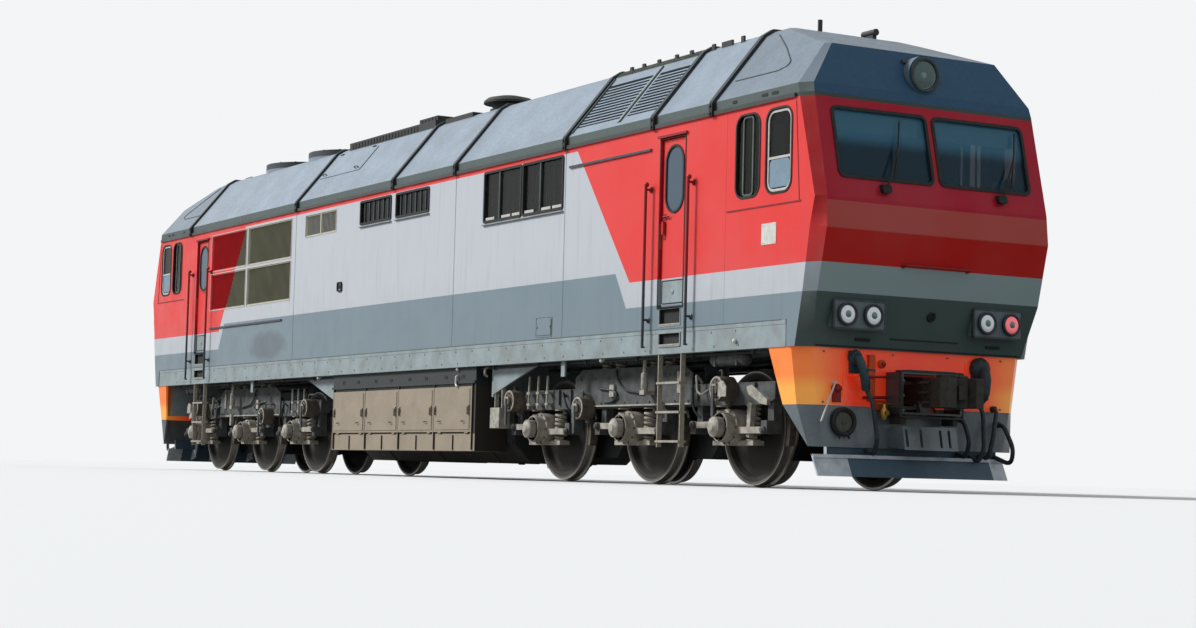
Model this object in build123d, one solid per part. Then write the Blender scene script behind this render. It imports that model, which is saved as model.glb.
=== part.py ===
from build123d import *
import os
from math import atan2, degrees, hypot

# Six-axle single-unit passenger diesel locomotive with a cab at each end, in millimetres.
# +X points to the leading cab, +Y to its left side, +Z up. The origin lies under the middle of the
# locomotive, level with the flange tips, so every height is a height above the rail head plus RAIL.

os.makedirs("parts", exist_ok=True)

# driving dimensions
RAIL = 28                    # flange depth: the rail head lies this far above the flange tips
GAP = 0.3                    # seat gap between pieces that touch on the real machine
RUN = 8                      # running clearance round a moving piece

HALF_W = 1475                # body half width
COUPLER_FACE = 10850         # half the length over the coupler faces
CAB_START = 8400             # joint between the side wall and the cab module
WALL = 60                    # side wall and door thickness
ROOF_T = 40                  # roof sheet thickness

SOLE_BOTTOM = RAIL + 1410    # underside of the sole bar
SOLE_TOP = RAIL + 1685       # lip between sole bar and side wall
DECK_T = 45                  # deck plate thickness
EAVE = RAIL + 3980           # top of the side wall
GUTTER_OUT = 26              # gutter stands out this far
GUTTER_H = 42

FOOT_Z = EAVE + 100          # the roof's foot is upright up to here, then its slope starts
SHOULDER_Y, SHOULDER_Z = 850, RAIL + 4855
CROWN_Y, CROWN_Z = 740, RAIL + 4925
RIDGE_Z = RAIL + 4945
RIB_X = (-8360, -3580, 20, 2000, 5020, 8360)     # roof joints, covered by ribs
RIB_W, RIB_H = 70, 34

BOGIE_X = 6150               # bogie pivot from the middle
AXLE_PITCH = 2150
WHEEL_R = 610
WHEEL_BACK = 720             # inner face of a wheel from the middle of the track
WHEEL_W = 135
JOURNAL_Y = 1060             # middle of an axle box
AXLE_Z = RAIL + WHEEL_R

COUPLER_Z = RAIL + 980
UNDERFRAME_END = 9780        # the underframe ends here, behind the nose plate
NOSE_PLATE_X = 9800
NOSE_FRONT = 10400           # nothing of the cab lies further forward
END_BEAM = (9560, RAIL + 900)    # inner face and underside of an end beam
SKIRT_FRONT = 10010          # front of the skirt under the nose


def box(x0, x1, y0, y1, z0, z1):
    """Box between two corners given in any order."""
    sx, sy, sz = abs(x1 - x0), abs(y1 - y0), abs(z1 - z0)
    return Pos((x0 + x1) / 2, (y0 + y1) / 2, (z0 + z1) / 2) * Box(sx, sy, sz)


def rod_x(x0, x1, y, z, r):
    return Pos((x0 + x1) / 2, y, z) * Rot(0, 90, 0) * Cylinder(r, abs(x1 - x0))


def rod_y(x, y0, y1, z, r):
    return Pos(x, (y0 + y1) / 2, z) * Rot(90, 0, 0) * Cylinder(r, abs(y1 - y0))


def rod_z(x, y, z0, z1, r):
    return Pos(x, y, (z0 + z1) / 2) * Cylinder(r, abs(z1 - z0))


def plate_xz(points, y0, y1):
    """Outline in X and Z, made into a plate between two Y values."""
    face = make_face(Polyline([(x, 0, z) for x, z in points], close=True))
    return Pos(0, min(y0, y1), 0) * extrude(face, abs(y1 - y0), dir=(0, 1, 0))


def plate_yz(points, x0, x1):
    """Outline in Y and Z, made into a plate between two X values."""
    face = make_face(Polyline([(0, y, z) for y, z in points], close=True))
    return Pos(min(x0, x1), 0, 0) * extrude(face, abs(x1 - x0), dir=(1, 0, 0))


def plate_xy(points, z0, z1):
    """Outline in X and Y, made into a plate between two heights."""
    face = make_face(Polyline([(x, y, 0) for x, y in points], close=True))
    return Pos(0, 0, min(z0, z1)) * extrude(face, abs(z1 - z0), dir=(0, 0, 1))


def level(points, z):
    return make_face(Polyline([(x, y, z) for x, y in points], close=True))


def turned(shape):
    """The same piece at the trailing end: half a turn about Z."""
    return Rot(0, 0, 180) * shape


def both_ends(shape):
    return [shape, turned(shape)]


def both_sides(shape):
    return [shape, mirror(shape, Plane.XZ)]


def solids_of(*shapes):
    """Flat list of the solids in shapes, lists of shapes and compounds."""
    found = []
    for s in shapes:
        if isinstance(s, (list, tuple)):
            found += solids_of(*s)
        else:
            found += list(s.solids())
    return found


def fuse(*shapes):
    parts = solids_of(*shapes)
    return parts[0] if len(parts) == 1 else parts[0].fuse(*parts[1:]).clean()


NODES = {}


def node(name, *shapes):
    NODES[name] = Compound(children=[s for s in solids_of(*shapes)])


# windows, doors and grilles in the side walls: x from, x to, z from, z to
DOOR_Z = (RAIL + 1925, RAIL + 3800)
DOORS = {"front": (7245, 7765), "rear": (-8000, -7480)}   # x from, x to
DOOR_GAP = 12                # seal gap round a door leaf
DOOR_IN = 30                 # a leaf's face lies this far inside the wall's face
DOOR_T = 45
CAB_PANES = ((8800, 9240, RAIL + 3000, RAIL + 3860), (9370, 9830, RAIL + 3000, RAIL + 3860))
ENGINE_WINDOWS = ((2860, 3860, RAIL + 3250, RAIL + 3860), (3930, 4950, RAIL + 3250, RAIL + 3860),
                  (-1110, -80, RAIL + 3550, RAIL + 3850), (120, 1160, RAIL + 3550, RAIL + 3850))
RADIATORS = ((-7300, -5690, RAIL + 2610, RAIL + 3205), (-7300, -5690, RAIL + 3255, RAIL + 3850),
             (-5610, -3760, RAIL + 2610, RAIL + 3205), (-5610, -3760, RAIL + 3255, RAIL + 3850))
SMALL_VENT = (-3200, -2020, RAIL + 3520, RAIL + 3840)
STEP_POCKETS = ((RAIL + 1725, RAIL + 1905), (RAIL + 1500, RAIL + 1635))   # foot holes below a door
POCKET_DEPTH = 45
RAIN_STRIPS = ((5130, 7040, RAIL + 3700), (-7260, -4050, RAIL + 2300))   # x from, x to, underside
PANE_T = 14
PANE_IN = 18                 # panes sit this far inside the wall's face


def wall_hole(h, grow=0.0, y0=HALF_W - WALL - 30, y1=HALF_W + 30):
    """Cutter for an opening in the left wall. grow is negative for what fits inside it."""
    return box(h[0] - grow, h[1] + grow, y0, y1, h[2] - grow, h[3] + grow)


# cab module: outline at each height: z, x at the side corner, x at the front, half width at the front
CAB_SECTIONS = (
    (SOLE_BOTTOM, 9950, 10055, 1340),
    (RAIL + 1945, 10070, 10235, 1410),
    (RAIL + 2590, 10180, 10390, 1410),
    (RAIL + 2900, 10260, 10370, 1400),
    (EAVE, 9950, 10105, 1395),
)


def cab_solid(inset=0.0, below=0, back=CAB_START):
    """Cab outline moved inwards by inset: a faceted solid through CAB_SECTIONS, longer by below and above."""
    faces = []
    for i, (z, x_side, x_front, half) in enumerate(CAB_SECTIONS):
        a, b = HALF_W - inset, half - inset * 0.6
        pts = [(back, -a), (x_side - inset * 0.6, -a), (x_front - inset, -b),
               (x_front - inset, b), (x_side - inset * 0.6, a), (back, a)]
        reach = below if i in (0, len(CAB_SECTIONS) - 1) else 0
        faces.append(level(pts, z - reach if i == 0 else z + reach))
    return loft(faces, ruled=True)


SCREEN_Y = (55, 1205)        # a windscreen pane from the middle
SCREEN_Z = (RAIL + 3130, RAIL + 3830)


def screen_cutter(shrink=0.0):
    y0, y1 = SCREEN_Y[0] + shrink, SCREEN_Y[1] - shrink
    z0, z1 = SCREEN_Z[0] + shrink, SCREEN_Z[1] - shrink
    pane = box(NOSE_FRONT - 700, NOSE_FRONT + 300, y0, y1, z0, z1)
    return both_sides(pane)


def pane_outline(h, radius, shrink):
    """Rounded cab side window, as a prism through the left wall."""
    x0, x1, z0, z1 = h[0] + shrink, h[1] - shrink, h[2] + shrink, h[3] - shrink
    face = Pos((x0 + x1) / 2, 0, (z0 + z1) / 2) * Rot(90, 0, 0) * RectangleRounded(x1 - x0, z1 - z0, radius)
    return Pos(0, HALF_W + 30, 0) * extrude(face, WALL + 60, dir=(0, -1, 0))


CAB_PANE_R = 120
HEADLAMP_Z, HEADLAMP_R = RAIL + 4295, 170
EYEBROW = 30                 # the hood round the headlamp is this much wider


def cab_module():
    shell = cab_solid() - cab_solid(WALL, below=20, back=CAB_START - 500)
    shell -= box(CAB_START - 50, NOSE_FRONT + 100, -HALF_W - 50, HALF_W + 50, EAVE, EAVE + 200)
    # the sole bar and deck run on under the cab floor, behind the nose plate
    shell -= box(CAB_START - 50, NOSE_PLATE_X, -HALF_W - 50, HALF_W + 50, SOLE_BOTTOM - 50, SOLE_TOP + GAP)
    for cutter in screen_cutter():
        shell -= cutter
    for h in CAB_PANES:
        for cutter in both_sides(pane_outline(h, CAB_PANE_R, 0)):
            shell -= cutter
    for g in both_sides(box(CAB_START, 9900, HALF_W, HALF_W + GUTTER_OUT, EAVE - GUTTER_H, EAVE)):
        shell += g
    return shell


def windscreens():
    band = cab_solid(PANE_IN) - cab_solid(PANE_IN + PANE_T, back=CAB_START - 500)
    return [band & cutter for cutter in screen_cutter(GAP)]


def cab_side_panes():
    panes = []
    for h in CAB_PANES:
        prism = pane_outline(h, CAB_PANE_R, GAP)
        slab = box(8000, 10200, HALF_W - PANE_IN - PANE_T, HALF_W - PANE_IN, 0, 6000)
        panes += both_sides(prism & slab)
    return panes


# side walls
def side_wall():
    """Left wall between the cab modules, with gutter, door openings, windows, grilles and foot holes."""
    wall = box(-CAB_START + GAP, CAB_START - GAP, HALF_W - WALL, HALF_W, SOLE_TOP + GAP, EAVE)
    wall += box(-CAB_START + GAP, CAB_START - GAP, HALF_W, HALF_W + GUTTER_OUT, EAVE - GUTTER_H, EAVE)
    for h in ENGINE_WINDOWS + RADIATORS + (SMALL_VENT,):
        wall -= wall_hole(h)
    for x0, x1 in DOORS.values():
        wall -= wall_hole((x0, x1, *DOOR_Z))
        z0, z1 = STEP_POCKETS[0]
        wall -= box(x0 + 40, x1 - 40, HALF_W - POCKET_DEPTH, HALF_W + 1, z0, z1)
        wall += box(x0 - 40, x1 + 40, HALF_W, HALF_W + 22, DOOR_Z[1] + 15, DOOR_Z[1] + 40)
    for end in DOORS:
        wall += wall_hinges(end)
    for x0, x1, z in RAIN_STRIPS:
        wall += box(x0, x1, HALF_W, HALF_W + 18, z, z + 25)
    return wall


SLAT_PITCH, SLAT_GAP = 118, 62
FRAME_BAR = 45


def grille(h, y_out=HALF_W - 6, depth=40):
    """Framed grille with upright slats that fills an opening in the left wall."""
    x0, x1, z0, z1 = h[0] + GAP, h[1] - GAP, h[2] + GAP, h[3] - GAP
    plate = make_face(Polyline([(x0, 0, z0), (x1, 0, z0), (x1, 0, z1), (x0, 0, z1)], close=True))
    count = int((x1 - x0 - 2 * FRAME_BAR) // SLAT_PITCH)
    first = (x0 + x1) / 2 - (count - 1) * SLAT_PITCH / 2
    slots = []
    for i in range(count):
        cx = first + i * SLAT_PITCH
        slots.append(Pos(cx, 0, (z0 + z1) / 2) * Rot(90, 0, 0) * Rectangle(SLAT_GAP, z1 - z0 - 2 * FRAME_BAR))
    plate -= slots
    return Pos(0, y_out - depth, 0) * extrude(plate, depth, dir=(0, 1, 0))


def engine_panes():
    """Panes of the four engine-room windows, each with its middle bar left to the grille."""
    panes = []
    for h in ENGINE_WINDOWS:
        y1 = HALF_W - PANE_IN
        panes.append(box(h[0] + GAP, h[1] - GAP, y1 - PANE_T, y1, h[2] + GAP, h[3] - GAP))
    return panes


# doors
DOOR_GLASS_Z = (RAIL + 2985, RAIL + 3705)
DOOR_GLASS_W = 350
HINGE_Z = (RAIL + 2100, RAIL + 2850, RAIL + 3600)
HINGE_H = 80
HINGE_R = 14
HINGE_Y = HALF_W - DOOR_IN - DOOR_T - 20


def hinge_x(end):
    """Doors hang on the jamb nearer to their cab: its X and the side that the wall is on."""
    x0, x1 = DOORS[end]
    return (x1 - 5, 1) if end == "front" else (x0 + 5, -1)


def strap(x, away, depth, z0, z1):
    """Hinge barrel with a strap that runs from it to an inner face at depth: the wall's or the leaf's."""
    barrel = rod_z(x, HINGE_Y, z0, z1, HINGE_R)
    return barrel + box(x, x + away * 80, HINGE_Y - 6, HALF_W - depth + 1, z0, z1)


def wall_hinges(end):
    x, side = hinge_x(end)
    return [strap(x, side, WALL, z - HINGE_H, z - GAP) for z in HINGE_Z]


def door(end, side):
    """Entrance door with an oval window, its pane, a handle and the upper hinge barrels."""
    x0, x1 = DOORS[end][0] + DOOR_GAP, DOORS[end][1] - DOOR_GAP
    z0, z1 = DOOR_Z[0] + DOOR_GAP, DOOR_Z[1] - DOOR_GAP
    face = HALF_W - DOOR_IN
    leaf = box(x0, x1, face - DOOR_T, face, z0, z1)
    w, h = DOOR_GLASS_W, DOOR_GLASS_Z[1] - DOOR_GLASS_Z[0]
    cx, cz = (x0 + x1) / 2, sum(DOOR_GLASS_Z) / 2
    slot = Pos(cx, 0, cz) * Rot(90, 0, 0) * Rot(0, 0, 90) * SlotOverall(h, w)
    leaf -= Pos(0, HALF_W + 30, 0) * extrude(slot, WALL + 60, dir=(0, -1, 0))
    small = Pos(cx, 0, cz) * Rot(90, 0, 0) * Rot(0, 0, 90) * SlotOverall(h - 2 * GAP, w - 2 * GAP)
    pane = Pos(0, face - PANE_IN / 2, 0) * extrude(small, PANE_T, dir=(0, -1, 0))
    hx, wall_side = hinge_x(end)
    grip = x0 + 40 if wall_side > 0 else x1 - 60
    handle = box(grip, grip + 20, face - 1, face + 36, RAIL + 2740, RAIL + 2880)
    straps = [strap(hx, -wall_side, DOOR_IN + DOOR_T, z, z + HINGE_H) for z in HINGE_Z]
    pieces = [fuse(leaf, handle, *straps), pane]
    return pieces if side == "left" else [mirror(p, Plane.XZ) for p in pieces]


# roof
def roof_outline(t=0.0):
    """Half ring of the roof's cross-section at t inside its surface, from the right eave to the left."""
    left = [(CROWN_Y - t * 0.3, CROWN_Z - t), (SHOULDER_Y - t * 0.67, SHOULDER_Z - t * 0.76),
            (HALF_W - t, FOOT_Z - t * 0.36), (HALF_W - t, EAVE)]
    return [(-y, z) for y, z in left[::-1]] + [(0, RIDGE_Z - t)] + left


def roof_shell(x0, x1):
    ring = roof_outline() + roof_outline(ROOF_T)[::-1]
    return plate_yz([(y, z + GAP) for y, z in ring], x0 + GAP, x1 - GAP)


def rib(x):
    ring = roof_outline(-RIB_H) + roof_outline()[::-1]
    return plate_yz([(y, z + GAP) for y, z in ring], x - RIB_W / 2, x + RIB_W / 2)


FAN_X = (-6630, -4780)
FAN_HOLE_R, COWL_R, COWL_TOP = 720, 775, RIDGE_Z + 110
FAN_Z = RIDGE_Z - 150
HUB_R = 130


def fan_cowl(x):
    """Ring round a fan opening, with guard bars over it and a carrier under it."""
    ring = rod_z(x, 0, RIDGE_Z - 60, COWL_TOP, COWL_R) - rod_z(x, 0, RIDGE_Z - 100, COWL_TOP + 50, FAN_HOLE_R)
    bars = [box(x - FAN_HOLE_R - 20, x + FAN_HOLE_R + 20, d - 12, d + 12, COWL_TOP - 30, COWL_TOP - 6)
            for d in (-480, -240, 0, 240, 480)]
    bars = [b & rod_z(x, 0, 0, 9000, COWL_R - 10) for b in bars]
    return [ring] + bars


def fan_carrier(x):
    """Cross bar and bearing post that carry a fan, fixed to the roof shell's walls."""
    bar = box(x - 60, x + 60, -HALF_W, HALF_W, FAN_Z - 170, FAN_Z - 120)
    post = rod_z(x, 0, FAN_Z - 130, FAN_Z - 70, 70)
    return [bar, post]


def fan(x):
    """Eight-blade fan on a hub."""
    hub = rod_z(x, 0, FAN_Z - 70 + GAP, FAN_Z + 60, HUB_R)
    blade = Pos(x, 0, FAN_Z) * Pos((HUB_R + FAN_HOLE_R - 20) / 2 - 10, 0, 0) * Rot(28, 0, 0) * \
        Box(FAN_HOLE_R - HUB_R - 20, 190, 10)
    blades = [Pos(x, 0, 0) * Rot(0, 0, 45 * i) * Pos(-x, 0, 0) * blade for i in range(8)]
    return fuse(hub, *blades)


INTAKE_GRILLES = ((5110, 6200), (6290, 7060))


def roof_cooling():
    shell = roof_shell(RIB_X[0], RIB_X[1])
    for x in FAN_X:
        shell -= rod_z(x, 0, RIDGE_Z - 200, COWL_TOP, FAN_HOLE_R)
    pieces = [shell, rib(RIB_X[0] + 36)]
    for x in FAN_X:
        pieces += fan_cowl(x)
        inner = plate_yz([(y, z + GAP) for y, z in roof_outline(ROOF_T - 2)], x - 200, x + 200)
        pieces += [fan_carrier(x)[0] & inner, fan_carrier(x)[1]]
    return fuse(*pieces)


def slope_point(t):
    """Point on the left roof slope: t is 0 at its foot and 1 at the shoulder."""
    return HALF_W + t * (SHOULDER_Y - HALF_W), FOOT_Z + t * (SHOULDER_Z - FOOT_Z)


SLOPE_DEG = degrees(atan2(SHOULDER_Z - FOOT_Z, HALF_W - SHOULDER_Y))
SLOPE_LEN = hypot(SHOULDER_Z - FOOT_Z, HALF_W - SHOULDER_Y)


def on_slope(x0, x1, t0, t1, depth0, depth1):
    """Slab lying on the left roof slope, from depth0 under to depth1 over its surface."""
    y, z = slope_point((t0 + t1) / 2)
    slab = Box(x1 - x0, (t1 - t0) * SLOPE_LEN, depth1 - depth0)
    return Pos((x0 + x1) / 2, y, z + GAP) * Rot(-SLOPE_DEG, 0, 0) * Pos(0, 0, (depth0 + depth1) / 2) * slab


def roof_engine():
    """Engine-room roof: plain hatches, then the air intake with its slatted slopes."""
    shell = roof_shell(RIB_X[1], RIB_X[5])
    for x0, x1 in INTAKE_GRILLES:
        for cutter in both_sides(on_slope(x0, x1, 0.14, 0.86, -ROOF_T * 3, 60)):
            shell -= cutter
        slats = [on_slope(x0 - 10, x1 + 10, t, t + 0.022, -22, -2) for t in [0.17 + 0.0565 * i for i in range(12)]]
        for s in slats:
            shell += both_sides(s)
    pieces = [shell] + [rib(x) for x in RIB_X[2:5]] + [rib(RIB_X[1] + 36), rib(RIB_X[5] - 36), rib(7090)]
    return fuse(*pieces)


# cab roof: z, half width, x at the side corner, x at the front, half width at the front
BROW_Z = RAIL + 4540         # upper edge of the steep front, where the roof leans back
BROW_Y = HALF_W - (HALF_W - SHOULDER_Y) * (BROW_Z - FOOT_Z) / (SHOULDER_Z - FOOT_Z)
CAB_ROOF = (
    (EAVE, HALF_W, 9950, 10105, 1395),
    (FOOT_Z, HALF_W, 9930, 10075, 1385),
    (BROW_Z, BROW_Y, 9840, 9900, BROW_Y - 50),
    (SHOULDER_Z, SHOULDER_Y, 8870, 8920, SHOULDER_Y - 50),
    (CROWN_Z, CROWN_Y, 8660, 8700, CROWN_Y - 50),
)


def cab_roof_solid(inset, back):
    faces = []
    for i, (z, a, x_side, x_front, b) in enumerate(CAB_ROOF):
        drop = 0 if i == 0 else inset * 0.7
        a, b = a - inset * 1.1, b - inset * 0.8
        pts = [(back, -a), (x_side - inset, -a), (x_front - inset * 1.1, -b),
               (x_front - inset * 1.1, b), (x_side - inset, a), (back, a)]
        faces.append(level(pts, z - drop + (GAP if inset == 0 or i else -5)))
    return loft(faces, ruled=True)


def cab_roof():
    shell = cab_roof_solid(0, RIB_X[5]) - cab_roof_solid(ROOF_T, RIB_X[5] - 300)
    hole = rod_x(NOSE_FRONT - 800, NOSE_FRONT, 0, HEADLAMP_Z, HEADLAMP_R + GAP)
    eyebrow = rod_x(9700, 10075, 0, HEADLAMP_Z, HEADLAMP_R + EYEBROW)
    shell = fuse(shell, eyebrow - box(9600, 9870, -400, 400, 4000, 5000)) - hole
    return shell


# underframe
CENTRE_SILL_Y = (330, 420)
COUPLER_SLOT = 270           # half width of the openings that the coupler swings in
COUPLER_PIN_X = 9330
COUPLER_PIN_R = 45
EYE_HALF = 110               # half height of the eye at the root of the coupler
SPRING_Y = 1056              # body springs from the middle
BODY_SPRING_R = 75
BOX_SPRING_R = 82
SPRING_U = (-720, -400, 400, 720)
TANK_X = (-2200, 2900)
TANK_HALF = 950
GUSSET_Y = (HALF_W - 185, HALF_W - 155)
GUSSET_Z = RAIL + 1020
PIVOT_R = 150


def underframe():
    """Sole bars with their lips, deck, centre sills, cross members, end beams, bolsters and tank gussets."""
    bars = both_sides(box(-UNDERFRAME_END, UNDERFRAME_END, HALF_W - 110, HALF_W - 6, SOLE_BOTTOM, SOLE_TOP - DECK_T))
    deck = box(-UNDERFRAME_END, UNDERFRAME_END, -HALF_W + 2, HALF_W - 2, SOLE_TOP - DECK_T, SOLE_TOP)
    for x0, x1 in DOORS.values():
        z0, z1 = STEP_POCKETS[1]
        bars = [b - box(x0 + 40, x1 - 40, HALF_W - POCKET_DEPTH, HALF_W + 9, z0, z1)
                - box(x0 + 40, x1 - 40, -HALF_W - 9, -HALF_W + POCKET_DEPTH, z0, z1) for b in bars]
    sills = both_sides(box(-UNDERFRAME_END, UNDERFRAME_END, *CENTRE_SILL_Y, SOLE_BOTTOM, SOLE_TOP - DECK_T))
    crosses = [box(x - 40, x + 40, -HALF_W + 60, HALF_W - 60, SOLE_BOTTOM + 40, SOLE_TOP - DECK_T)
               for x in (-8600, -7400, -4700, -3300, -1100, 0, 1100, 3300, 4700, 7400, 8600)]
    beam_x, beam_z = END_BEAM
    ends = both_ends(box(beam_x, UNDERFRAME_END, -HALF_W + 175, HALF_W - 175, beam_z, SOLE_TOP - DECK_T)
                     - box(beam_x - 60, UNDERFRAME_END + 20, -COUPLER_SLOT, COUPLER_SLOT,
                           COUPLER_Z - 190, COUPLER_Z + 190))
    out, low, top = COUPLER_SLOT + 60, COUPLER_Z - EYE_HALF - GAP, COUPLER_Z + EYE_HALF + GAP
    back, front = COUPLER_PIN_X - 180, beam_x + 40
    pockets = both_sides(box(back, front, out - 50, out, low - 30, SOLE_BOTTOM + 60))
    pockets += [box(back, back + 50, -out, out, low - 30, SOLE_BOTTOM + 60),
                box(back + 40, front, -out, out, low - 30, low),
                box(back + 40, front, -out, out, top, top + 40),
                rod_z(COUPLER_PIN_X, 0, low - 20, top + 20, COUPLER_PIN_R)]
    bolsters = []
    for x in (-BOGIE_X, BOGIE_X):
        bolsters.append(box(x - 330, x + 330, -HALF_W + 95, HALF_W - 95, SOLE_BOTTOM + 20, SOLE_TOP - DECK_T))
        bolsters += both_sides(box(x - 860, x + 860, SPRING_Y - 140, SPRING_Y + 140, SOLE_BOTTOM, SOLE_TOP - DECK_T))
    # the pivot pins are bolted under the bolsters
    pins = [rod_z(x, 0, RAIL + 1120, SOLE_BOTTOM + 20 - GAP, PIVOT_R) for x in (-BOGIE_X, BOGIE_X)]
    gussets = []
    for x_end, reach in ((TANK_X[1], 1350), (TANK_X[0], -1250)):
        corner = [(x_end, SOLE_BOTTOM + 20), (x_end + reach, SOLE_BOTTOM + 20), (x_end, GUSSET_Z + 20)]
        gussets += both_sides(plate_xz(corner, *GUSSET_Y))
        side = 40 if reach > 0 else -40
        gussets.append(box(x_end, x_end + side, -GUSSET_Y[1], GUSSET_Y[1], GUSSET_Z, SOLE_BOTTOM + 60))
    # lugs that hang from the sole bars beside the bogies
    for x in (4950, -5410):
        gussets += both_sides(box(x - 45, x + 45, HALF_W - 90, HALF_W - 66, RAIL + 1225, SOLE_BOTTOM + 20))
    frame = fuse(deck, *bars, *sills, *crosses, *ends, *pockets, *[turned(p) for p in pockets],
                 *bolsters, *gussets)
    return [frame] + pins


def fuel_tank():
    """Welded tank between the bogies, with chamfered lower corners and two strap ribs."""
    x0, x1 = TANK_X
    half, low, top = TANK_HALF, RAIL + 200, SOLE_BOTTOM - GAP
    outline = [(-half, top), (-half, low + 240), (-half + 240, low), (half - 240, low), (half, low + 240), (half, top)]
    body = plate_yz(outline, x0 + 45, x1 - 45)
    straps = []
    for x in (-1300, 350, 2000):
        ring = [(y * (1 + 8 / TANK_HALF), z - (8 if z < top else 0)) for y, z in outline]
        straps.append(plate_yz(ring, x - 40, x + 40))
    return fuse(body, *straps)


# battery boxes: one at each side of the tank, with four fold-down covers
BATTERY_X = (-2050, 2640)
BATTERY_Y = (TANK_HALF + 8 + GAP, 1418)
BATTERY_Z = (RAIL + 330, SOLE_BOTTOM - GAP)
COVER_Z = (RAIL + 575, RAIL + 1160)
COVER_T = 30
COVER_COUNT = 4
COVER_PITCH = (BATTERY_X[1] - BATTERY_X[0] - 140) / COVER_COUNT
BATTERY_SKIN = 20


HINGE_OUT, HINGE_DROP = 12, 12          # cover hinges: out from the box's face and below the cover
COVER_HINGE_R = 8


def cover_hinges(i, parts):
    """Barrels on the lower edge of cover i: the cover's own in the middle of each hinge, the box's beside it."""
    x0, x1 = cover_span(i)
    y, z = BATTERY_Y[1] + HINGE_OUT, COVER_Z[0] - HINGE_DROP
    out = []
    for x in (x0 + 150, x1 - 150):
        if parts == "cover":
            out.append(rod_x(x - 30, x + 30, y, z, COVER_HINGE_R) + box(x - 30, x + 30, y - 6, y + 6, z, COVER_Z[0] + 3))
        else:
            arm = rod_x(x + 30 + GAP, x + 65, y, z, COVER_HINGE_R)
            out.append(arm + box(x + 30 + GAP, x + 65, BATTERY_Y[1] - 2, y, z - 6, z + 6))
    return out


def cover_span(i):
    x0 = BATTERY_X[0] + 70 + i * COVER_PITCH
    return x0 + 17, x0 + COVER_PITCH - 17


def battery_box():
    """Left battery box: open at the covers, a ribbed panel under them and a slotted one over them."""
    shell = box(*BATTERY_X, *BATTERY_Y, *BATTERY_Z)
    shell -= box(BATTERY_X[0] + BATTERY_SKIN, BATTERY_X[1] - BATTERY_SKIN, BATTERY_Y[0] + BATTERY_SKIN,
                 BATTERY_Y[1] - BATTERY_SKIN, COVER_Z[0], COVER_Z[1] + 20)
    for i in range(COVER_COUNT):
        x0, x1 = cover_span(i)
        shell -= box(x0 + 25, x1 - 25, BATTERY_Y[0] + BATTERY_SKIN, BATTERY_Y[1] + 9, COVER_Z[0] + 25, COVER_Z[1] - 25)
    ribs = []
    for i in range(COVER_COUNT + 1):
        x = BATTERY_X[0] + 70 + i * COVER_PITCH
        ribs.append(box(x - 9, x + 9, BATTERY_Y[1] - 1, BATTERY_Y[1] + 24, RAIL + 345, COVER_Z[1] + 60))
    lower = []
    for i in range(COVER_COUNT * 2 - 1):
        x = BATTERY_X[0] + 70 + (i + 1) * COVER_PITCH / 2
        lower.append(box(x - 14, x + 14, BATTERY_Y[1] - 1, BATTERY_Y[1] + 18, RAIL + 345, COVER_Z[0] - 40))
    ledge = box(*BATTERY_X, BATTERY_Y[1] - 1, BATTERY_Y[1] + 22, COVER_Z[1] + 40, COVER_Z[1] + 75)
    hinges = [cover_hinges(i, "box") for i in range(COVER_COUNT)]
    return fuse(shell, ledge, *ribs, *lower, *hinges)


def battery_cover(i):
    """Left cover i: a plate with a turned edge and two latches, hinged along its lower outer edge."""
    x0, x1 = cover_span(i)
    y0 = BATTERY_Y[1] + GAP
    leaf = box(x0, x1, y0, y0 + COVER_T - 8, *COVER_Z)
    leaf += box(x0 + 30, x1 - 30, y0, y0 + COVER_T, COVER_Z[0] + 30, COVER_Z[1] - 30)
    mid = (COVER_Z[0] + COVER_Z[1]) / 2
    for x in (x0 + 55, x1 - 55):
        leaf += box(x - 18, x + 18, y0 + COVER_T - 1, y0 + COVER_T + 14, mid - 55, mid + 55)
    return fuse(leaf, *cover_hinges(i, "cover"))


# end skirts, ploughs, couplers
# z, x at the rear edge of the side wing, x at the front, half width
SKIRT_SECTIONS = ((RAIL + 410, SKIRT_FRONT - 60, SKIRT_FRONT, HALF_W - 185),
                  (RAIL + 830, SKIRT_FRONT - 400, SKIRT_FRONT, HALF_W - 100),
                  (SOLE_BOTTOM - GAP, SKIRT_FRONT - 560, SKIRT_FRONT, HALF_W - 20))
SKIRT_T = 30
SKIRT_BACK = SKIRT_FRONT - SKIRT_T - GAP
SKIRT_CORNER = 150           # bevel between the front and a side wing
GUIDE_Y, GUIDE_Z = 385, (COUPLER_Z - 220, COUPLER_Z + 210)    # box that the coupler comes out through
GUIDE_REACH, GUIDE_T = 280, 20
KICK_Y, KICK_Z = 340, (RAIL + 400, RAIL + 640)                # slotted plate under the coupler
HOSE_PLATE_Y, HOSE_PLATE_Z = (630, 920), (RAIL + 930, RAIL + 1330)


def skirt_solid(inset, back):
    """Outline of the skirt moved inwards by inset. With back it is a cutter, longer below, above and behind."""
    faces = []
    last = len(SKIRT_SECTIONS) - 1
    for i, (z, x_back, x_front, half) in enumerate(SKIRT_SECTIONS):
        a = half - inset
        xb = x_back if back is None else back
        bevel_x, bevel_y = max(x_back + 1, x_front - SKIRT_CORNER) - inset, a - SKIRT_CORNER
        pts = [(xb, -a), (bevel_x, -a), (x_front - inset, -bevel_y), (x_front - inset, bevel_y), (bevel_x, a), (xb, a)]
        over = 0 if back is None else {0: -5, last: 5}.get(i, 0)
        faces.append(level(pts, z + over))
    return loft(faces, ruled=True)


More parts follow.
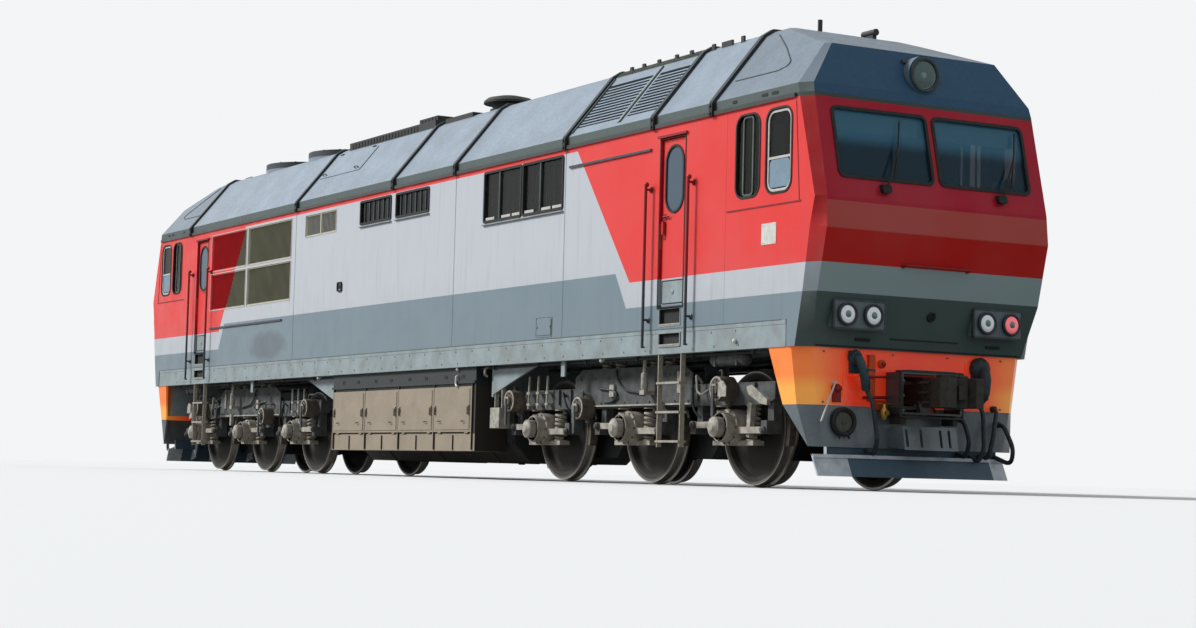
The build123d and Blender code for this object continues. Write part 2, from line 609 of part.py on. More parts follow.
def skirt():
    """Wrap-round skirt under the nose with the coupler's guide box, the slotted plate and the hose plates."""
    cutter_back = SKIRT_FRONT - 1000
    shell = skirt_solid(0, None) - skirt_solid(SKIRT_T, cutter_back)
    guide = box(SKIRT_FRONT - 5, SKIRT_FRONT + GUIDE_REACH, -GUIDE_Y, GUIDE_Y, *GUIDE_Z)
    inner = box(SKIRT_FRONT - 50, SKIRT_FRONT + GUIDE_REACH + 10, -GUIDE_Y + GUIDE_T, GUIDE_Y - GUIDE_T,
                GUIDE_Z[0] + GUIDE_T, GUIDE_Z[1] - GUIDE_T)
    slot = box(cutter_back, SKIRT_FRONT + 10, -COUPLER_SLOT, COUPLER_SLOT, GUIDE_Z[0] + GUIDE_T, GUIDE_Z[1] - GUIDE_T)
    shell = shell - slot + (guide - inner)
    low, high = SKIRT_FRONT + 290, SKIRT_FRONT + 240
    kick = plate_xz([(low, KICK_Z[0]), (high, KICK_Z[1]), (high - 14, KICK_Z[1]), (low - 14, KICK_Z[0])], -KICK_Y, KICK_Y)
    for y in (-300, -120, 130, 240):
        kick -= box(high - 30, low + 10, y - 16, y + 16, KICK_Z[0] + 30, KICK_Z[1] - 30)
    cheek = plate_xz([(SKIRT_FRONT - 5, KICK_Z[0] + 30), (SKIRT_FRONT - 5, KICK_Z[1] - 20), (high - 8, KICK_Z[1] - 5),
                      (low - 8, KICK_Z[0] + 5)], KICK_Y - 14, KICK_Y)
    pieces = [shell, kick] + both_sides(cheek)
    arm_z = sum(HOSE_PLATE_Z) / 2
    pieces += both_sides(box(SKIRT_FRONT - 5, SKIRT_FRONT + 14, *HOSE_PLATE_Y, *HOSE_PLATE_Z))
    pieces += both_sides(box(SKIRT_FRONT, SKIRT_FRONT + 110, HOSE_PLATE_Y[0] + 80, HOSE_PLATE_Y[1] - 60, arm_z, arm_z + 16))
    for y in (420, 1000):
        pieces += both_sides(box(UNDERFRAME_END + GAP, SKIRT_FRONT - SKIRT_T + 5, y - 15, y + 15,
                                 END_BEAM[1] + 20, SOLE_BOTTOM - 110))
    return fuse(*pieces)


# plough blade in plan: x and y of its lower edge, from one end to the other
PLOUGH = ((SKIRT_FRONT + 15, HALF_W - 265), (SKIRT_FRONT + 170, HALF_W - 575), (SKIRT_FRONT + 250, 0),
          (SKIRT_FRONT + 170, 575 - HALF_W), (SKIRT_FRONT + 15, 265 - HALF_W))
PLOUGH_Z = (RAIL + 115, RAIL + 335)
PLOUGH_T = 24
PLOUGH_LEAN = 110            # the upper edge lies this far behind the lower one


def plough():
    low = [(x, y) for x, y in PLOUGH] + [(x - PLOUGH_T, y) for x, y in PLOUGH[::-1]]
    high = [(x - PLOUGH_LEAN, y) for x, y in low]
    blade = loft([level(low, PLOUGH_Z[0]), level(high, PLOUGH_Z[1])], ruled=True)
    frame = []
    for y in (-700, -350, 350, 700):
        nose = PLOUGH[2][0] - PLOUGH_T / 2 - (PLOUGH[2][0] - PLOUGH[1][0]) * abs(y) / PLOUGH[1][1]
        frame.append(plate_xz([(nose - 26, RAIL + 145), (nose - 100, RAIL + 300), (SKIRT_BACK, RAIL + 340),
                               (SKIRT_BACK, RAIL + 620), (UNDERFRAME_END, END_BEAM[1] - GAP),
                               (UNDERFRAME_END - 160, END_BEAM[1] - GAP), (SKIRT_FRONT - 110, RAIL + 200)],
                              y - 14, y + 14))
    frame.append(box(SKIRT_BACK - 50, SKIRT_BACK, 395 - HALF_W, HALF_W - 395, RAIL + 325, RAIL + 480))
    return fuse(blade, *frame)


# coupler head in plan: how far behind the coupler's face, and y: guard arm on one side, small claw on the other
CLAW = ((470, -190), (470, 190), (330, 235), (150, 255), (0, 215), (0, 120), (110, 95), (160, 20), (160, -40),
        (70, -70), (50, -190), (110, -250), (290, -230))
CLAW_HALF = 150
COLLAR_HALF = 140


def coupler():
    """Automatic coupler without a knuckle: shank, collar, big and small claw and lock."""
    face, z = COUPLER_FACE, COUPLER_Z
    shank = box(COUPLER_PIN_X, face - 520, -85, 85, z - 95, z + 95)
    eye = rod_z(COUPLER_PIN_X, 0, z - EYE_HALF, z + EYE_HALF, 115)
    collar = box(face - 550, face - 460, -COLLAR_HALF, COLLAR_HALF, z - COLLAR_HALF, z + COLLAR_HALF)
    head = plate_xy([(face - back, y) for back, y in CLAW], z - CLAW_HALF, z + CLAW_HALF)
    lock = box(face - 170, face - 80, -35, 75, z - 70, z + 70)
    horn = box(face - 380, face - 290, -95, 95, z + CLAW_HALF - 10, z + CLAW_HALF + 35)
    bore = rod_z(COUPLER_PIN_X, 0, z - 2 * EYE_HALF, z + 2 * EYE_HALF, COUPLER_PIN_R + GAP)
    return fuse(shank, eye, collar, head, lock, horn) - bore


# lamps on the nose
LAMP_Y = (725, 1045)
LAMP_Z = RAIL + 1740
LAMP_R = 92
LAMP_BOX_X = 10235           # front of a lamp box


def marker_lamps():
    """Two lamp boxes on each nose, each with two round lamps."""
    x = LAMP_BOX_X
    house = box(x - 175, x, LAMP_Y[0] - 150, LAMP_Y[1] + 145, LAMP_Z - 135, LAMP_Z + 135)
    lamps = [rod_x(x - 75, x + 27, y, LAMP_Z, LAMP_R + 10) - rod_x(x + 9, x + 65, y, LAMP_Z, LAMP_R) for y in LAMP_Y]
    lamps += [rod_x(x - 35, x + 21, y, LAMP_Z, LAMP_R * 0.62) for y in LAMP_Y]
    one = fuse(house, *lamps) - cab_solid(-GAP)
    return both_sides(one)


def headlamp():
    body = rod_x(9860, 10085, 0, HEADLAMP_Z, HEADLAMP_R)
    return body - rod_x(10030, 10200, 0, HEADLAMP_Z, HEADLAMP_R - 22) + rod_x(10000, 10050, 0, HEADLAMP_Z, 70)


# rails, steps and roof fittings
RAIL_OUT = 72                # grab rails stand this far off the wall
RAIL_R = 17
FOOT_R = 13
GRAB_Z = (SOLE_BOTTOM + 80, RAIL + 3320)


def grab_rails():
    """Upright rail at each side of each door, on two feet."""
    rails = []
    for x0, x1 in DOORS.values():
        for x in (x0 - 200, x1 + 185):
            y = HALF_W + RAIL_OUT
            bar = rod_z(x, y, *GRAB_Z, RAIL_R)
            feet = [rod_y(x, HALF_W + GAP, y, z, FOOT_R) for z in (RAIL + 1800, GRAB_Z[1] - 60)]
            rails += both_sides(fuse(bar, *feet))
    return rails


LADDER_Y = (HALF_W - 70, HALF_W - 12)
TREADS = (RAIL + 440, RAIL + 760, RAIL + 1080)


def ladders():
    """Steps hung under the sole bar below each door."""
    out = []
    y0, y1 = LADDER_Y
    for x0, x1 in DOORS.values():
        sides = [box(x, x + 14, y0, y1, RAIL + 390, SOLE_BOTTOM - GAP) for x in (x0 + 15, x1 - 29)]
        treads = [box(x0 + 15, x1 - 15, y0 - 30, y1 + 20, z, z + 24) for z in TREADS]
        out += both_sides(fuse(*sides, *treads))
    return out


def roof_top_trim():
    """Everything under the roof's skin, as a cutter that makes fittings seat on it."""
    pts = [(y, z + 2 * GAP) for y, z in roof_outline()]
    return plate_yz([(-HALF_W, 3000)] + pts + [(HALF_W, 3000)], -8500, 8500)


EXHAUST = (1450, -450)


def exhaust():
    """Silencer outlet over the engine: a round stack under a domed hood."""
    x, y = EXHAUST
    profile = [(0, -40), (230, -40), (230, 120), (350, 115), (350, 145), (300, 190), (150, 225), (0, 230)]
    face = make_face(Polyline([(r, 0, CROWN_Z + h) for r, h in profile], close=True))
    return [Pos(x, y, 0) * revolve(face, Axis.Z) - roof_top_trim()]


EYE_X = (5350, 5640, 5990, 6390, 6720, 7200, 7810)


def roof_boxes():
    """Ventilator cowl with its raised end and a low box along each roof shoulder, a step bar and lifting eyes."""
    low = CROWN_Z - 60
    cowl = fuse(box(-3200, -150, 440, 800, low, CROWN_Z + 75), box(-750, -150, 470, 770, low, CROWN_Z + 140))
    pieces = both_sides(cowl) + both_sides(box(140, 1000, 480, 780, low, CROWN_Z + 45))
    pieces += both_sides(box(7380, 7600, 776, 800, low, CROWN_Z + 30))
    for x in EYE_X:
        pieces += both_sides(box(x - 30, x + 30, 776, 800, low, CROWN_Z + 38))
    return [p - roof_top_trim() for p in pieces]


def horns():
    """Aerial and horn on each cab roof."""
    z = CROWN_Z + 2 * GAP
    aerial = rod_z(8590, -300, z, z + 150, 26)
    horn = fuse(box(8490, 8620, 385, 435, z, z + 60), rod_x(8410, 8650, 410, z + 90, 38))
    return [aerial, horn]


# inside
def bulkheads():
    """Cab back walls and engine-room bulkheads."""
    inner = [(-HALF_W + WALL + GAP, SOLE_TOP + GAP), (HALF_W - WALL - GAP, SOLE_TOP + GAP),
             (HALF_W - WALL - GAP, FOOT_Z - 40), (SHOULDER_Y - 60, SHOULDER_Z - 60), (-SHOULDER_Y + 60, SHOULDER_Z - 60),
             (-HALF_W + WALL + GAP, FOOT_Z - 40)]
    walls = []
    for x in (-8290, -7400, 7180, 8250):
        walls.append(plate_yz(inner, x, x + 40))
    return walls


def desks():
    one = plate_xz([(9250, SOLE_TOP + GAP), (9250, RAIL + 2480), (9450, RAIL + 2640), (9880, RAIL + 2860),
                    (9960, RAIL + 2860), (9890, SOLE_TOP + GAP)], -1150, 1150)
    return both_ends(one)


def seats():
    out = []
    for y in (-700, 700):
        base = rod_z(8880, y, SOLE_TOP + GAP, RAIL + 2080, 60)
        foot = rod_z(8880, y, SOLE_TOP + GAP, SOLE_TOP + 30, 190)
        cushion = box(8640, 9100, y - 230, y + 230, RAIL + 2070, RAIL + 2180)
        back = Pos(8650, y, RAIL + 2480) * Rot(0, -8, 0) * Box(110, 440, 680)
        out.append(fuse(base, foot, cushion, back))
    return [both_ends(s) for s in out]


def engine():
    return box(-2600, 4400, -650, 650, SOLE_TOP + GAP, RAIL + 3450)


# bogie, built about its pivot with u along X
FRAME_Y = (985, 1135)
FRAME_Z = (RAIL + 850, RAIL + 1090)
FRAME_END = AXLE_PITCH + 810
MID_RISE = 120               # the side beams stand this much higher over the middle axle
GUARD_T, GUARD_U, GUARD_TOP = 20, 1340, RAIL + 1310          # plate in front of the body springs
BRAKE_DRUMS = ((AXLE_PITCH - 40, RAIL + 1020), (-970, RAIL + 850), (-AXLE_PITCH - 600, RAIL + 960))
TRANSOM_U = (-AXLE_PITCH / 2, AXLE_PITCH / 2)
TRANSOM_HALF = 120
AXLE_U = (AXLE_PITCH, 0, -AXLE_PITCH)
ARM_REACH = 645              # from the axle to the frame lug that its guide arm meets
ARM_Y = (JOURNAL_Y + BOX_SPRING_R + 8, JOURNAL_Y + BOX_SPRING_R + 50)     # guide arms, outside the springs


def bogie_frame():
    """Two side beams raised over the middle axle, cross beams, end beams and the pivot crosshead."""
    z0, z1 = FRAME_Z
    side = [(-FRAME_END, z0 + 60), (-FRAME_END, z1), (-1150, z1), (-900, z1 + MID_RISE), (900, z1 + MID_RISE),
            (1150, z1), (FRAME_END, z1), (FRAME_END, z0 + 60), (FRAME_END - 160, z0), (-FRAME_END + 160, z0)]
    beams = both_sides(plate_xz(side, *FRAME_Y))
    guard = [(-GUARD_U, z0 + 20), (-GUARD_U, GUARD_TOP - 90), (-GUARD_U + 180, GUARD_TOP), (GUARD_U - 180, GUARD_TOP),
             (GUARD_U, GUARD_TOP - 90), (GUARD_U, z0 + 20)]
    beams += both_sides(plate_xz(guard, FRAME_Y[1] - 1, FRAME_Y[1] + GUARD_T))
    inside = FRAME_Y[0] + 10
    crosses = [box(u - TRANSOM_HALF, u + TRANSOM_HALF, -inside, inside, z0 + 20, z1) for u in TRANSOM_U]
    ends = [box(u - 60, u + 60, -inside, inside, z0 + 90, z1) for u in (-FRAME_END + 60, FRAME_END - 60)]
    head = both_sides(box(*TRANSOM_U, 200, 320, z1 - 60, z1 + 10))
    head.append(box(-260, 260, -320, 320, z1 + 5, z1 + 75) - rod_z(0, 0, 0, 3000, PIVOT_R + RUN))
    lugs = []
    for a in AXLE_U:
        for s in (-1, 1):
            u = a + s * (ARM_REACH + 55)
            lugs += both_sides(box(u - 55, u + 55, JOURNAL_Y - 50, JOURNAL_Y + 50, AXLE_Z - 70, z0 + 40))
            lugs += both_sides(box(u - 55, u + 55, JOURNAL_Y + 45, ARM_Y[1] + 5, AXLE_Z - 70, AXLE_Z + 70))
    return fuse(*beams, *crosses, *ends, *head, *lugs)


def coil(x, y, z0, z1, r, turns):
    """Coil spring as a grooved column: a plate at each end and one bulge for each turn between."""
    pitch = (z1 - z0 - 40) / turns
    pts = [(0, z0), (r, z0), (r, z0 + 20)]
    for i in range(turns):
        a = z0 + 20 + i * pitch
        pts += [(r * 0.72, a), (r * 0.97, a + pitch / 2)]
    pts += [(r * 0.72, z1 - 20), (r, z1 - 20), (r, z1), (0, z1)]
    face = make_face(Polyline([(px, 0, pz) for px, pz in pts], close=True))
    return Pos(x, y, 0) * revolve(face, Axis.Z)


def bogie_springs():
    """Body springs on the side beams, and two springs on the shelf of each axle box."""
    out = []
    for u in SPRING_U:
        out += both_sides(coil(u, SPRING_Y, FRAME_Z[1] + MID_RISE + GAP, SOLE_BOTTOM - GAP, BODY_SPRING_R, 3))
    for a in AXLE_U:
        for s in (-1, 1):
            out += both_sides(coil(a + s * 300, JOURNAL_Y, AXLE_Z - 140 + GAP, FRAME_Z[0] - GAP, BOX_SPRING_R, 3))
    return out


BOX_R = 195
BOX_STEPS = ((0, 140, 0), (135, 240, 35), (235, 320, 85))    # y from the journal, y to, smaller than BOX_R by


def axle_boxes():
    """Six axle boxes with stepped covers, shelves for the springs and guide arms to the frame lugs."""
    out = []
    for a in AXLE_U:
        steps = [rod_y(a, JOURNAL_Y + (y0 or -100), JOURNAL_Y + y1, AXLE_Z, BOX_R - less) for y0, y1, less in BOX_STEPS]
        shelf = box(a - 400, a + 400, JOURNAL_Y - 70, JOURNAL_Y + 70, AXLE_Z - 190, AXLE_Z - 140)
        arms = [box(a + s * 150, a + s * (ARM_REACH - GAP), *ARM_Y, AXLE_Z - 30 * s - 35, AXLE_Z - 30 * s + 35)
                for s in (-1, 1)]
        hole = rod_y(a, 0, JOURNAL_Y + 60, AXLE_Z, JOURNAL_R + 0.5)
        out += both_sides(fuse(*steps, shelf, *arms) - hole)
    return out


JOURNAL_R = 80
AXLE_R = 100
FLANGE_R = WHEEL_R + RAIL


def wheelset(a):
    """Axle and two wheels pressed on it: dished web, rim, tread and flange."""
    y0, y1 = WHEEL_BACK, WHEEL_BACK + WHEEL_W
    mid = (y0 + y1) / 2
    hub, rim, bore = AXLE_R + 60, WHEEL_R - 80, AXLE_R + GAP
    profile = [(bore, y1 + 20), (hub, y1 + 20), (hub, mid + 45), (rim - 30, mid + 8), (rim, y1), (WHEEL_R, y1),
               (WHEEL_R, y0 + 34), (FLANGE_R, y0 + 24), (FLANGE_R - 6, y0), (rim, y0), (rim - 30, mid - 24),
               (hub, mid - 40), (hub, y0 - 25), (bore, y0 - 25)]
    wheel = revolve(make_face(Polyline([(r, y, 0) for r, y in profile], close=True)), Axis.Y)
    end = JOURNAL_Y + 40
    axle = fuse(rod_y(0, -end, end, 0, JOURNAL_R), rod_y(0, -y1 - 20, y1 + 20, 0, AXLE_R))
    return [Pos(a, 0, AXLE_Z) * piece for piece in [axle] + both_sides(wheel)]


DRUM_R, DRUM_REACH = 135, 190


def brake_gear():
    """Brake cylinders on the side beams, and a shoe with its hanger at each side of each wheel."""
    out = []
    seat = FRAME_Y[1]
    for u, z in BRAKE_DRUMS:
        near = seat + (GUARD_T if abs(u) < GUARD_U + DRUM_R else 0) + GAP
        drum = rod_y(u, near, seat + DRUM_REACH, z, DRUM_R)
        drum += rod_y(u, seat + DRUM_REACH - 5, seat + DRUM_REACH + 30, z, DRUM_R - 75)
        out += both_sides(drum)
    shoe_y = (WHEEL_BACK + 42, WHEEL_BACK + WHEEL_W - 4)
    for a in AXLE_U:
        ring = rod_y(a, *shoe_y, AXLE_Z, WHEEL_R + RUN + 62) - rod_y(a, 0, 2000, AXLE_Z, WHEEL_R + RUN)
        for s in (-1, 1):
            shoe = ring & box(a + s * (WHEEL_R - 50), a + s * (WHEEL_R + 150), *shoe_y, AXLE_Z - 190, AXLE_Z + 130)
            hx, top = a + s * (WHEEL_R + RUN + 45), FRAME_Z[0] + 150
            reach = box(hx - 16, hx + 16, shoe_y[1] - 30, FRAME_Y[0] - GAP, top - 40, top)
            hanger = box(hx - 16, hx + 16, shoe_y[1] - 34, shoe_y[1] - 4, AXLE_Z + 20, top)
            out += both_sides(fuse(shoe, hanger, reach))
    return out


MOTORS = ((-AXLE_PITCH, TRANSOM_U[0]), (0, TRANSOM_U[1]), (AXLE_PITCH, TRANSOM_U[1]))   # axle, its cross beam


def traction_motors():
    """One motor for each axle, between the axle and the cross beam that carries it."""
    out = []
    for a, beam in MOTORS:
        s = 1 if beam > a else -1
        near, far = a + s * (AXLE_R + 30), beam - s * (TRANSOM_HALF + GAP)
        c = s * 120
        outline = [(near, AXLE_Z - 180), (near + c, AXLE_Z - 330), (far - c, AXLE_Z - 330), (far, AXLE_Z - 180),
                   (far, FRAME_Z[0] + 60), (near + c, FRAME_Z[0] + 60), (near, AXLE_Z + 150)]
        out.append(plate_xz(outline, -560, 560))
    return out


def at_bogie(end, shapes):
    moved = []
    for s in solids_of(shapes):
        piece = Pos(BOGIE_X, 0, 0) * s
        moved.append(piece if end > 0 else turned(piece))
    return moved


# the whole locomotive
def build():
    node("underframe", underframe())
    wall = side_wall()
    node("side_wall_left", wall)
    node("side_wall_right", mirror(wall, Plane.XZ))
    cab = cab_module()
    node("cab_front", cab)
    node("cab_rear", turned(cab))
    screens = windscreens()
    node("windscreens", screens, [turned(s) for s in screens])
    side_panes = cab_side_panes()
    panes = engine_panes()
    node("side_windows", side_panes, [turned(p) for p in side_panes], panes, [mirror(p, Plane.XZ) for p in panes])
    grilles = [grille(h) for h in RADIATORS + (SMALL_VENT,)]
    node("side_grilles", grilles, [mirror(g, Plane.XZ) for g in grilles])
    node("roof_cooling", roof_cooling())
    node("roof_engine", roof_engine())
    top = cab_roof()
    node("roof_cab_front", top)
    node("roof_cab_rear", turned(top))
    for i, x in enumerate(FAN_X):
        node(f"cooling_fan_{i + 1}", fan(x))
    for end in DOORS:
        for side in ("left", "right"):
            node(f"door_{end}_{side}", door(end, side))
    node("bulkheads", bulkheads())
    node("cab_desks", desks())
    node("cab_seats", seats())
    node("engine_block", engine())
    node("fuel_tank", fuel_tank())
    node("battery_boxes", both_sides(battery_box()))
    for i in range(COVER_COUNT):
        cover = battery_cover(i)
        node(f"battery_cover_left_{i + 1}", cover)
        node(f"battery_cover_right_{i + 1}", mirror(cover, Plane.XZ))
    node("end_skirts", both_ends(skirt()))
    node("ploughs", both_ends(plough()))
    node("coupler_front", coupler())
    node("coupler_rear", turned(coupler()))
    node("nose_lamps", marker_lamps(), [turned(m) for m in marker_lamps()])
    node("headlamps", both_ends(headlamp()))
    node("grab_rails", grab_rails())
    node("ladders", ladders())
    node("roof_fittings", exhaust(), roof_boxes(), horns(), [turned(h) for h in horns()])
    for end, name in ((1, "front"), (-1, "rear")):
        node(f"bogie_frame_{name}", at_bogie(end, bogie_frame()))
        node(f"bogie_springs_{name}", at_bogie(end, bogie_springs()))
        node(f"axle_boxes_{name}", at_bogie(end, axle_boxes()))
        node(f"brake_gear_{name}", at_bogie(end, brake_gear()))
        node(f"traction_motors_{name}", at_bogie(end, traction_motors()))
        for i, a in enumerate(AXLE_U):
            node(f"wheelset_{name}_{i + 1}", at_bogie(end, wheelset(a)))


build()
for name, shape in NODES.items():
    export_step(shape, f"parts/{name}.step")
print(len(NODES), "nodes written")
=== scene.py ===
import bmesh
import bpy
import math
from functools import partial
from mathutils import Matrix, Vector


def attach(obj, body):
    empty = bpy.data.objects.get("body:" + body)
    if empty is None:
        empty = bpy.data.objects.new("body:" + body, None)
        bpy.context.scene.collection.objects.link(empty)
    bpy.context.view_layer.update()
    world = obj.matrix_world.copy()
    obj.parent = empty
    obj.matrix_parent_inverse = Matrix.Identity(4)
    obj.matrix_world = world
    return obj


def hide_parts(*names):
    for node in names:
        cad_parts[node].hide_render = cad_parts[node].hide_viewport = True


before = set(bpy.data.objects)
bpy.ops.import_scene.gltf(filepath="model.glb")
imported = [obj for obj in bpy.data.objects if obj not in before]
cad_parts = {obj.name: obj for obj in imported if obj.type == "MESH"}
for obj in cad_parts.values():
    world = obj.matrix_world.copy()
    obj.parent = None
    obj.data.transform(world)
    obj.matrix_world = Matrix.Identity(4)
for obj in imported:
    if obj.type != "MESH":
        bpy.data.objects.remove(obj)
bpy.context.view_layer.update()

# Six-axle diesel locomotive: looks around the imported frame. Metres, +X the leading cab, +Z up.
# Shapes are written with heights over the rail head, and makePiece lifts them by rail.
rail = 0.028
wallY = 1.475                # side wall face
leafY = 1.445                # face of an entrance door
bogieX, axlePitch, axleZ = 6.15, 2.15, 0.61

# ways of making shapes: each returns a list of points and a list of faces


def block(x0, x1, y0, y1, z0, z1):
    points = [(x, y, z) for x in sorted((x0, x1)) for y in sorted((y0, y1)) for z in sorted((z0, z1))]
    return points, [(0, 1, 3, 2), (4, 6, 7, 5), (0, 4, 5, 1), (2, 3, 7, 6), (0, 2, 6, 4), (1, 5, 7, 3)]


def onAxis(axis, p, q, t):
    return {"x": (t, p, q), "y": (p, t, q), "z": (p, q, t)}[axis]


def prism(outline, axis, a, b):
    n = len(outline)
    points = [onAxis(axis, p, q, t) for t in (a, b) for p, q in outline]
    sides = [(i, (i + 1) % n, n + (i + 1) % n, n + i) for i in range(n)]
    return points, [tuple(range(n)), tuple(range(n, 2 * n))] + sides


def ringFrame(outer, inner, axis, a, b):
    # outer and inner outlines have as many points
    n = len(outer)
    points = [onAxis(axis, p, q, t) for t in (a, b) for outline in (outer, inner) for p, q in outline]
    faces = []
    for i in range(n):
        j = (i + 1) % n
        faces += [(i, j, n + j, n + i), (2 * n + i, 2 * n + j, 3 * n + j, 3 * n + i)]
        faces += [(i, j, 2 * n + j, 2 * n + i), (n + i, n + j, 3 * n + j, 3 * n + i)]
    return points, faces


def roundedOutline(x0, x1, z0, z1, r, steps=5):
    points = []
    for cx, cz, start in ((x1 - r, z1 - r, 0), (x0 + r, z1 - r, 90),
        (x0 + r, z0 + r, 180), (x1 - r, z0 + r, 270)):
        for i in range(steps + 1):
            a = math.radians(start + 90 * i / steps)
            points.append((cx + r * math.cos(a), cz + r * math.sin(a)))
    return points


def roundedRing(x0, x1, z0, z1, r, width, axis, a, b):
    # a rim of that width round an opening with corners of radius r
    outer = roundedOutline(x0 - width, x1 + width, z0 - width, z1 + width, r + width)
    return ringFrame(outer, roundedOutline(x0, x1, z0, z1, r), axis, a, b)


def circleOutline(cx, cz, r, steps=24):
    turn = 2 * math.pi / steps
    return [(cx + r * math.cos(turn * i), cz + r * math.sin(turn * i)) for i in range(steps)]


def tube(path, radius, sides=8):
    path = [Vector(p) for p in path]
    points, faces = [], []
    side = None
    for i, p in enumerate(path):
        ahead = (path[min(i + 1, len(path) - 1)] - path[max(i - 1, 0)]).normalized()
        if side is None:
            side = ahead.orthogonal().normalized()
        side = (side - ahead * side.dot(ahead)).normalized()
        up = ahead.cross(side)
        for k in range(sides):
            a = 2 * math.pi * k / sides
            points.append(tuple(p + side * (radius * math.cos(a)) + up * (radius * math.sin(a))))
    for i in range(len(path) - 1):
        for k in range(sides):
            n = (k + 1) % sides
            faces.append((i * sides + k, i * sides + n, (i + 1) * sides + n, (i + 1) * sides + k))
    last = (len(path) - 1) * sides
    faces += [tuple(range(sides)), tuple(range(last, last + sides))]
    return points, faces


def lathe(profile, axis, centre, sides=24):
    # profile: (distance along the axis, radius), centre: the other two coordinates
    points, faces = [], []
    for t, r in profile:
        for p, q in circleOutline(centre[0], centre[1], max(r, 0.0004), sides):
            points.append(onAxis(axis, p, q, t))
    for i in range(len(profile) - 1):
        for k in range(sides):
            n = (k + 1) % sides
            faces.append((i * sides + k, i * sides + n, (i + 1) * sides + n, (i + 1) * sides + k))
    last = (len(profile) - 1) * sides
    faces += [tuple(range(sides)), tuple(range(last, last + sides))]
    return points, faces


def bend(path, r, steps=5):
    # the path with each corner made round
    path = [Vector(p) for p in path]
    out = [path[0]]
    for before, corner, after in zip(path, path[1:], path[2:]):
        a, b = (before - corner), (after - corner)
        cut = min(r, a.length * 0.45, b.length * 0.45)
        p, q = corner + a.normalized() * cut, corner + b.normalized() * cut
        for i in range(steps + 1):
            t = i / steps
            out.append(p.lerp(corner, t).lerp(corner.lerp(q, t), t))
    return out + [path[-1]]


def pipe(path, radius, r=0.05, sides=8):
    return tube(bend(path, r), radius, sides)


def coil(x, y, z0, z1, radius, wire, turns):
    # wound spring with a flat plate at each end
    count = turns * 14
    path = []
    for i in range(count + 1):
        a = 2 * math.pi * i / 14
        path.append((x + radius * math.cos(a), y + radius * math.sin(a),
                z0 + 0.014 + wire + (z1 - z0 - 0.028 - 2 * wire) * i / count))
    plates = [lathe(((z, radius * 0.5), (z, radius + wire), (z + 0.014, radius + wire),
            (z + 0.014, radius * 0.5)), "z", (x, y), 18) for z in (z0, z1 - 0.014)]
    return [tube(path, wire, 6)] + plates


def bolts(places, axis, t0, t1, r):
    # hexagon heads at a list of places
    return [prism(circleOutline(p, q, r, 6), axis, t0, t1) for p, q in places]


def wallBlock(x0, x1, z0, z1, a, b):
    # a and b: how far out of the side wall's face it starts and ends
    return block(x0, x1, wallY + a, wallY + b, z0, z1)


def wallRing(opening, inset, r, width, a, b):
    x0, x1, z0, z1 = opening
    return roundedRing(x0 + inset, x1 - inset, z0 + inset, z1 - inset, r, width, "y", wallY + a, wallY + b)


def wallPanel(x0, x1, z0, z1, r, a, b):
    return prism(roundedOutline(x0, x1, z0, z1, r), "y", wallY + a, wallY + b)


def moved(shape, matrix):
    return [tuple(matrix @ Vector(p)) for p in shape[0]], shape[1]


def warped(shape, place):
    return [place(*p) for p in shape[0]], shape[1]


def same(shape):
    return shape


def mirrored(shape):
    return [(x, -y, z) for x, y, z in shape[0]], shape[1]


def turned(shape):
    return [(-x, -y, z) for x, y, z in shape[0]], shape[1]


def bothSides(shapes):
    return shapes + [mirrored(s) for s in shapes]


def bothEnds(shapes):
    return shapes + [turned(s) for s in shapes]


def between(value, table):
    # straight-line reading between the rows of a table of (height, x)
    for (z0, x0), (z1, x1) in zip(table, table[1:]):
        if value <= z1 or (z1, x1) == table[-1]:
            return x0 + (x1 - x0) * (value - z0) / (z1 - z0)


noseLine = ((1.41, 10.055), (1.945, 10.235), (2.59, 10.39), (2.9, 10.37), (3.98, 10.105),
    (4.08, 10.075), (4.54, 9.9))


def onNose(out, y, z):
    return between(z, noseLine) + out, y, z


def onSlope(x, t, out):
    # the left roof slope: t is 0 at its foot and 1 at the shoulder
    return x, 1.475 - 0.625 * t + 0.778 * out, 4.08 + 0.775 * t + 0.628 * out


smoothBelow, bevelAbove = math.radians(38), math.radians(50)  # angles between faces


def makePiece(name, coat, shapes, body="body", replaces=(), bevel=0.0):
    points, faces = [], []
    for shapePoints, shapeFaces in shapes:
        start = len(points)
        points += [(x, y, z + rail) for x, y, z in shapePoints]
        faces += [tuple(start + i for i in face) for face in shapeFaces]
    mesh = bpy.data.meshes.new(name)
    mesh.from_pydata(points, [], faces)
    work = bmesh.new()
    work.from_mesh(mesh)
    bmesh.ops.recalc_face_normals(work, faces=work.faces)
    work.to_mesh(mesh)
    work.free()
    mesh.shade_smooth()
    mesh.set_sharp_from_angle(angle=smoothBelow)
    mesh.materials.append(coats[coat])
    piece = bpy.data.objects.new(name, mesh)
    bpy.context.scene.collection.objects.link(piece)
    if bevel:
        edge = piece.modifiers.new("edge", "BEVEL")
        edge.width, edge.segments, edge.limit_method = bevel, 2, "ANGLE"
        edge.angle_limit = bevelAbove
    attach(piece, body)
    if replaces:
        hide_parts(*replaces)
    return piece


# materials


def toLinear(hexColor):
    parts = [int(hexColor[i:i + 2], 16) / 255 for i in (1, 3, 5)]
    return tuple(c / 12.92 if c <= 0.04045 else ((c + 0.055) / 1.055) ** 2.4 for c in parts) + (1.0,)


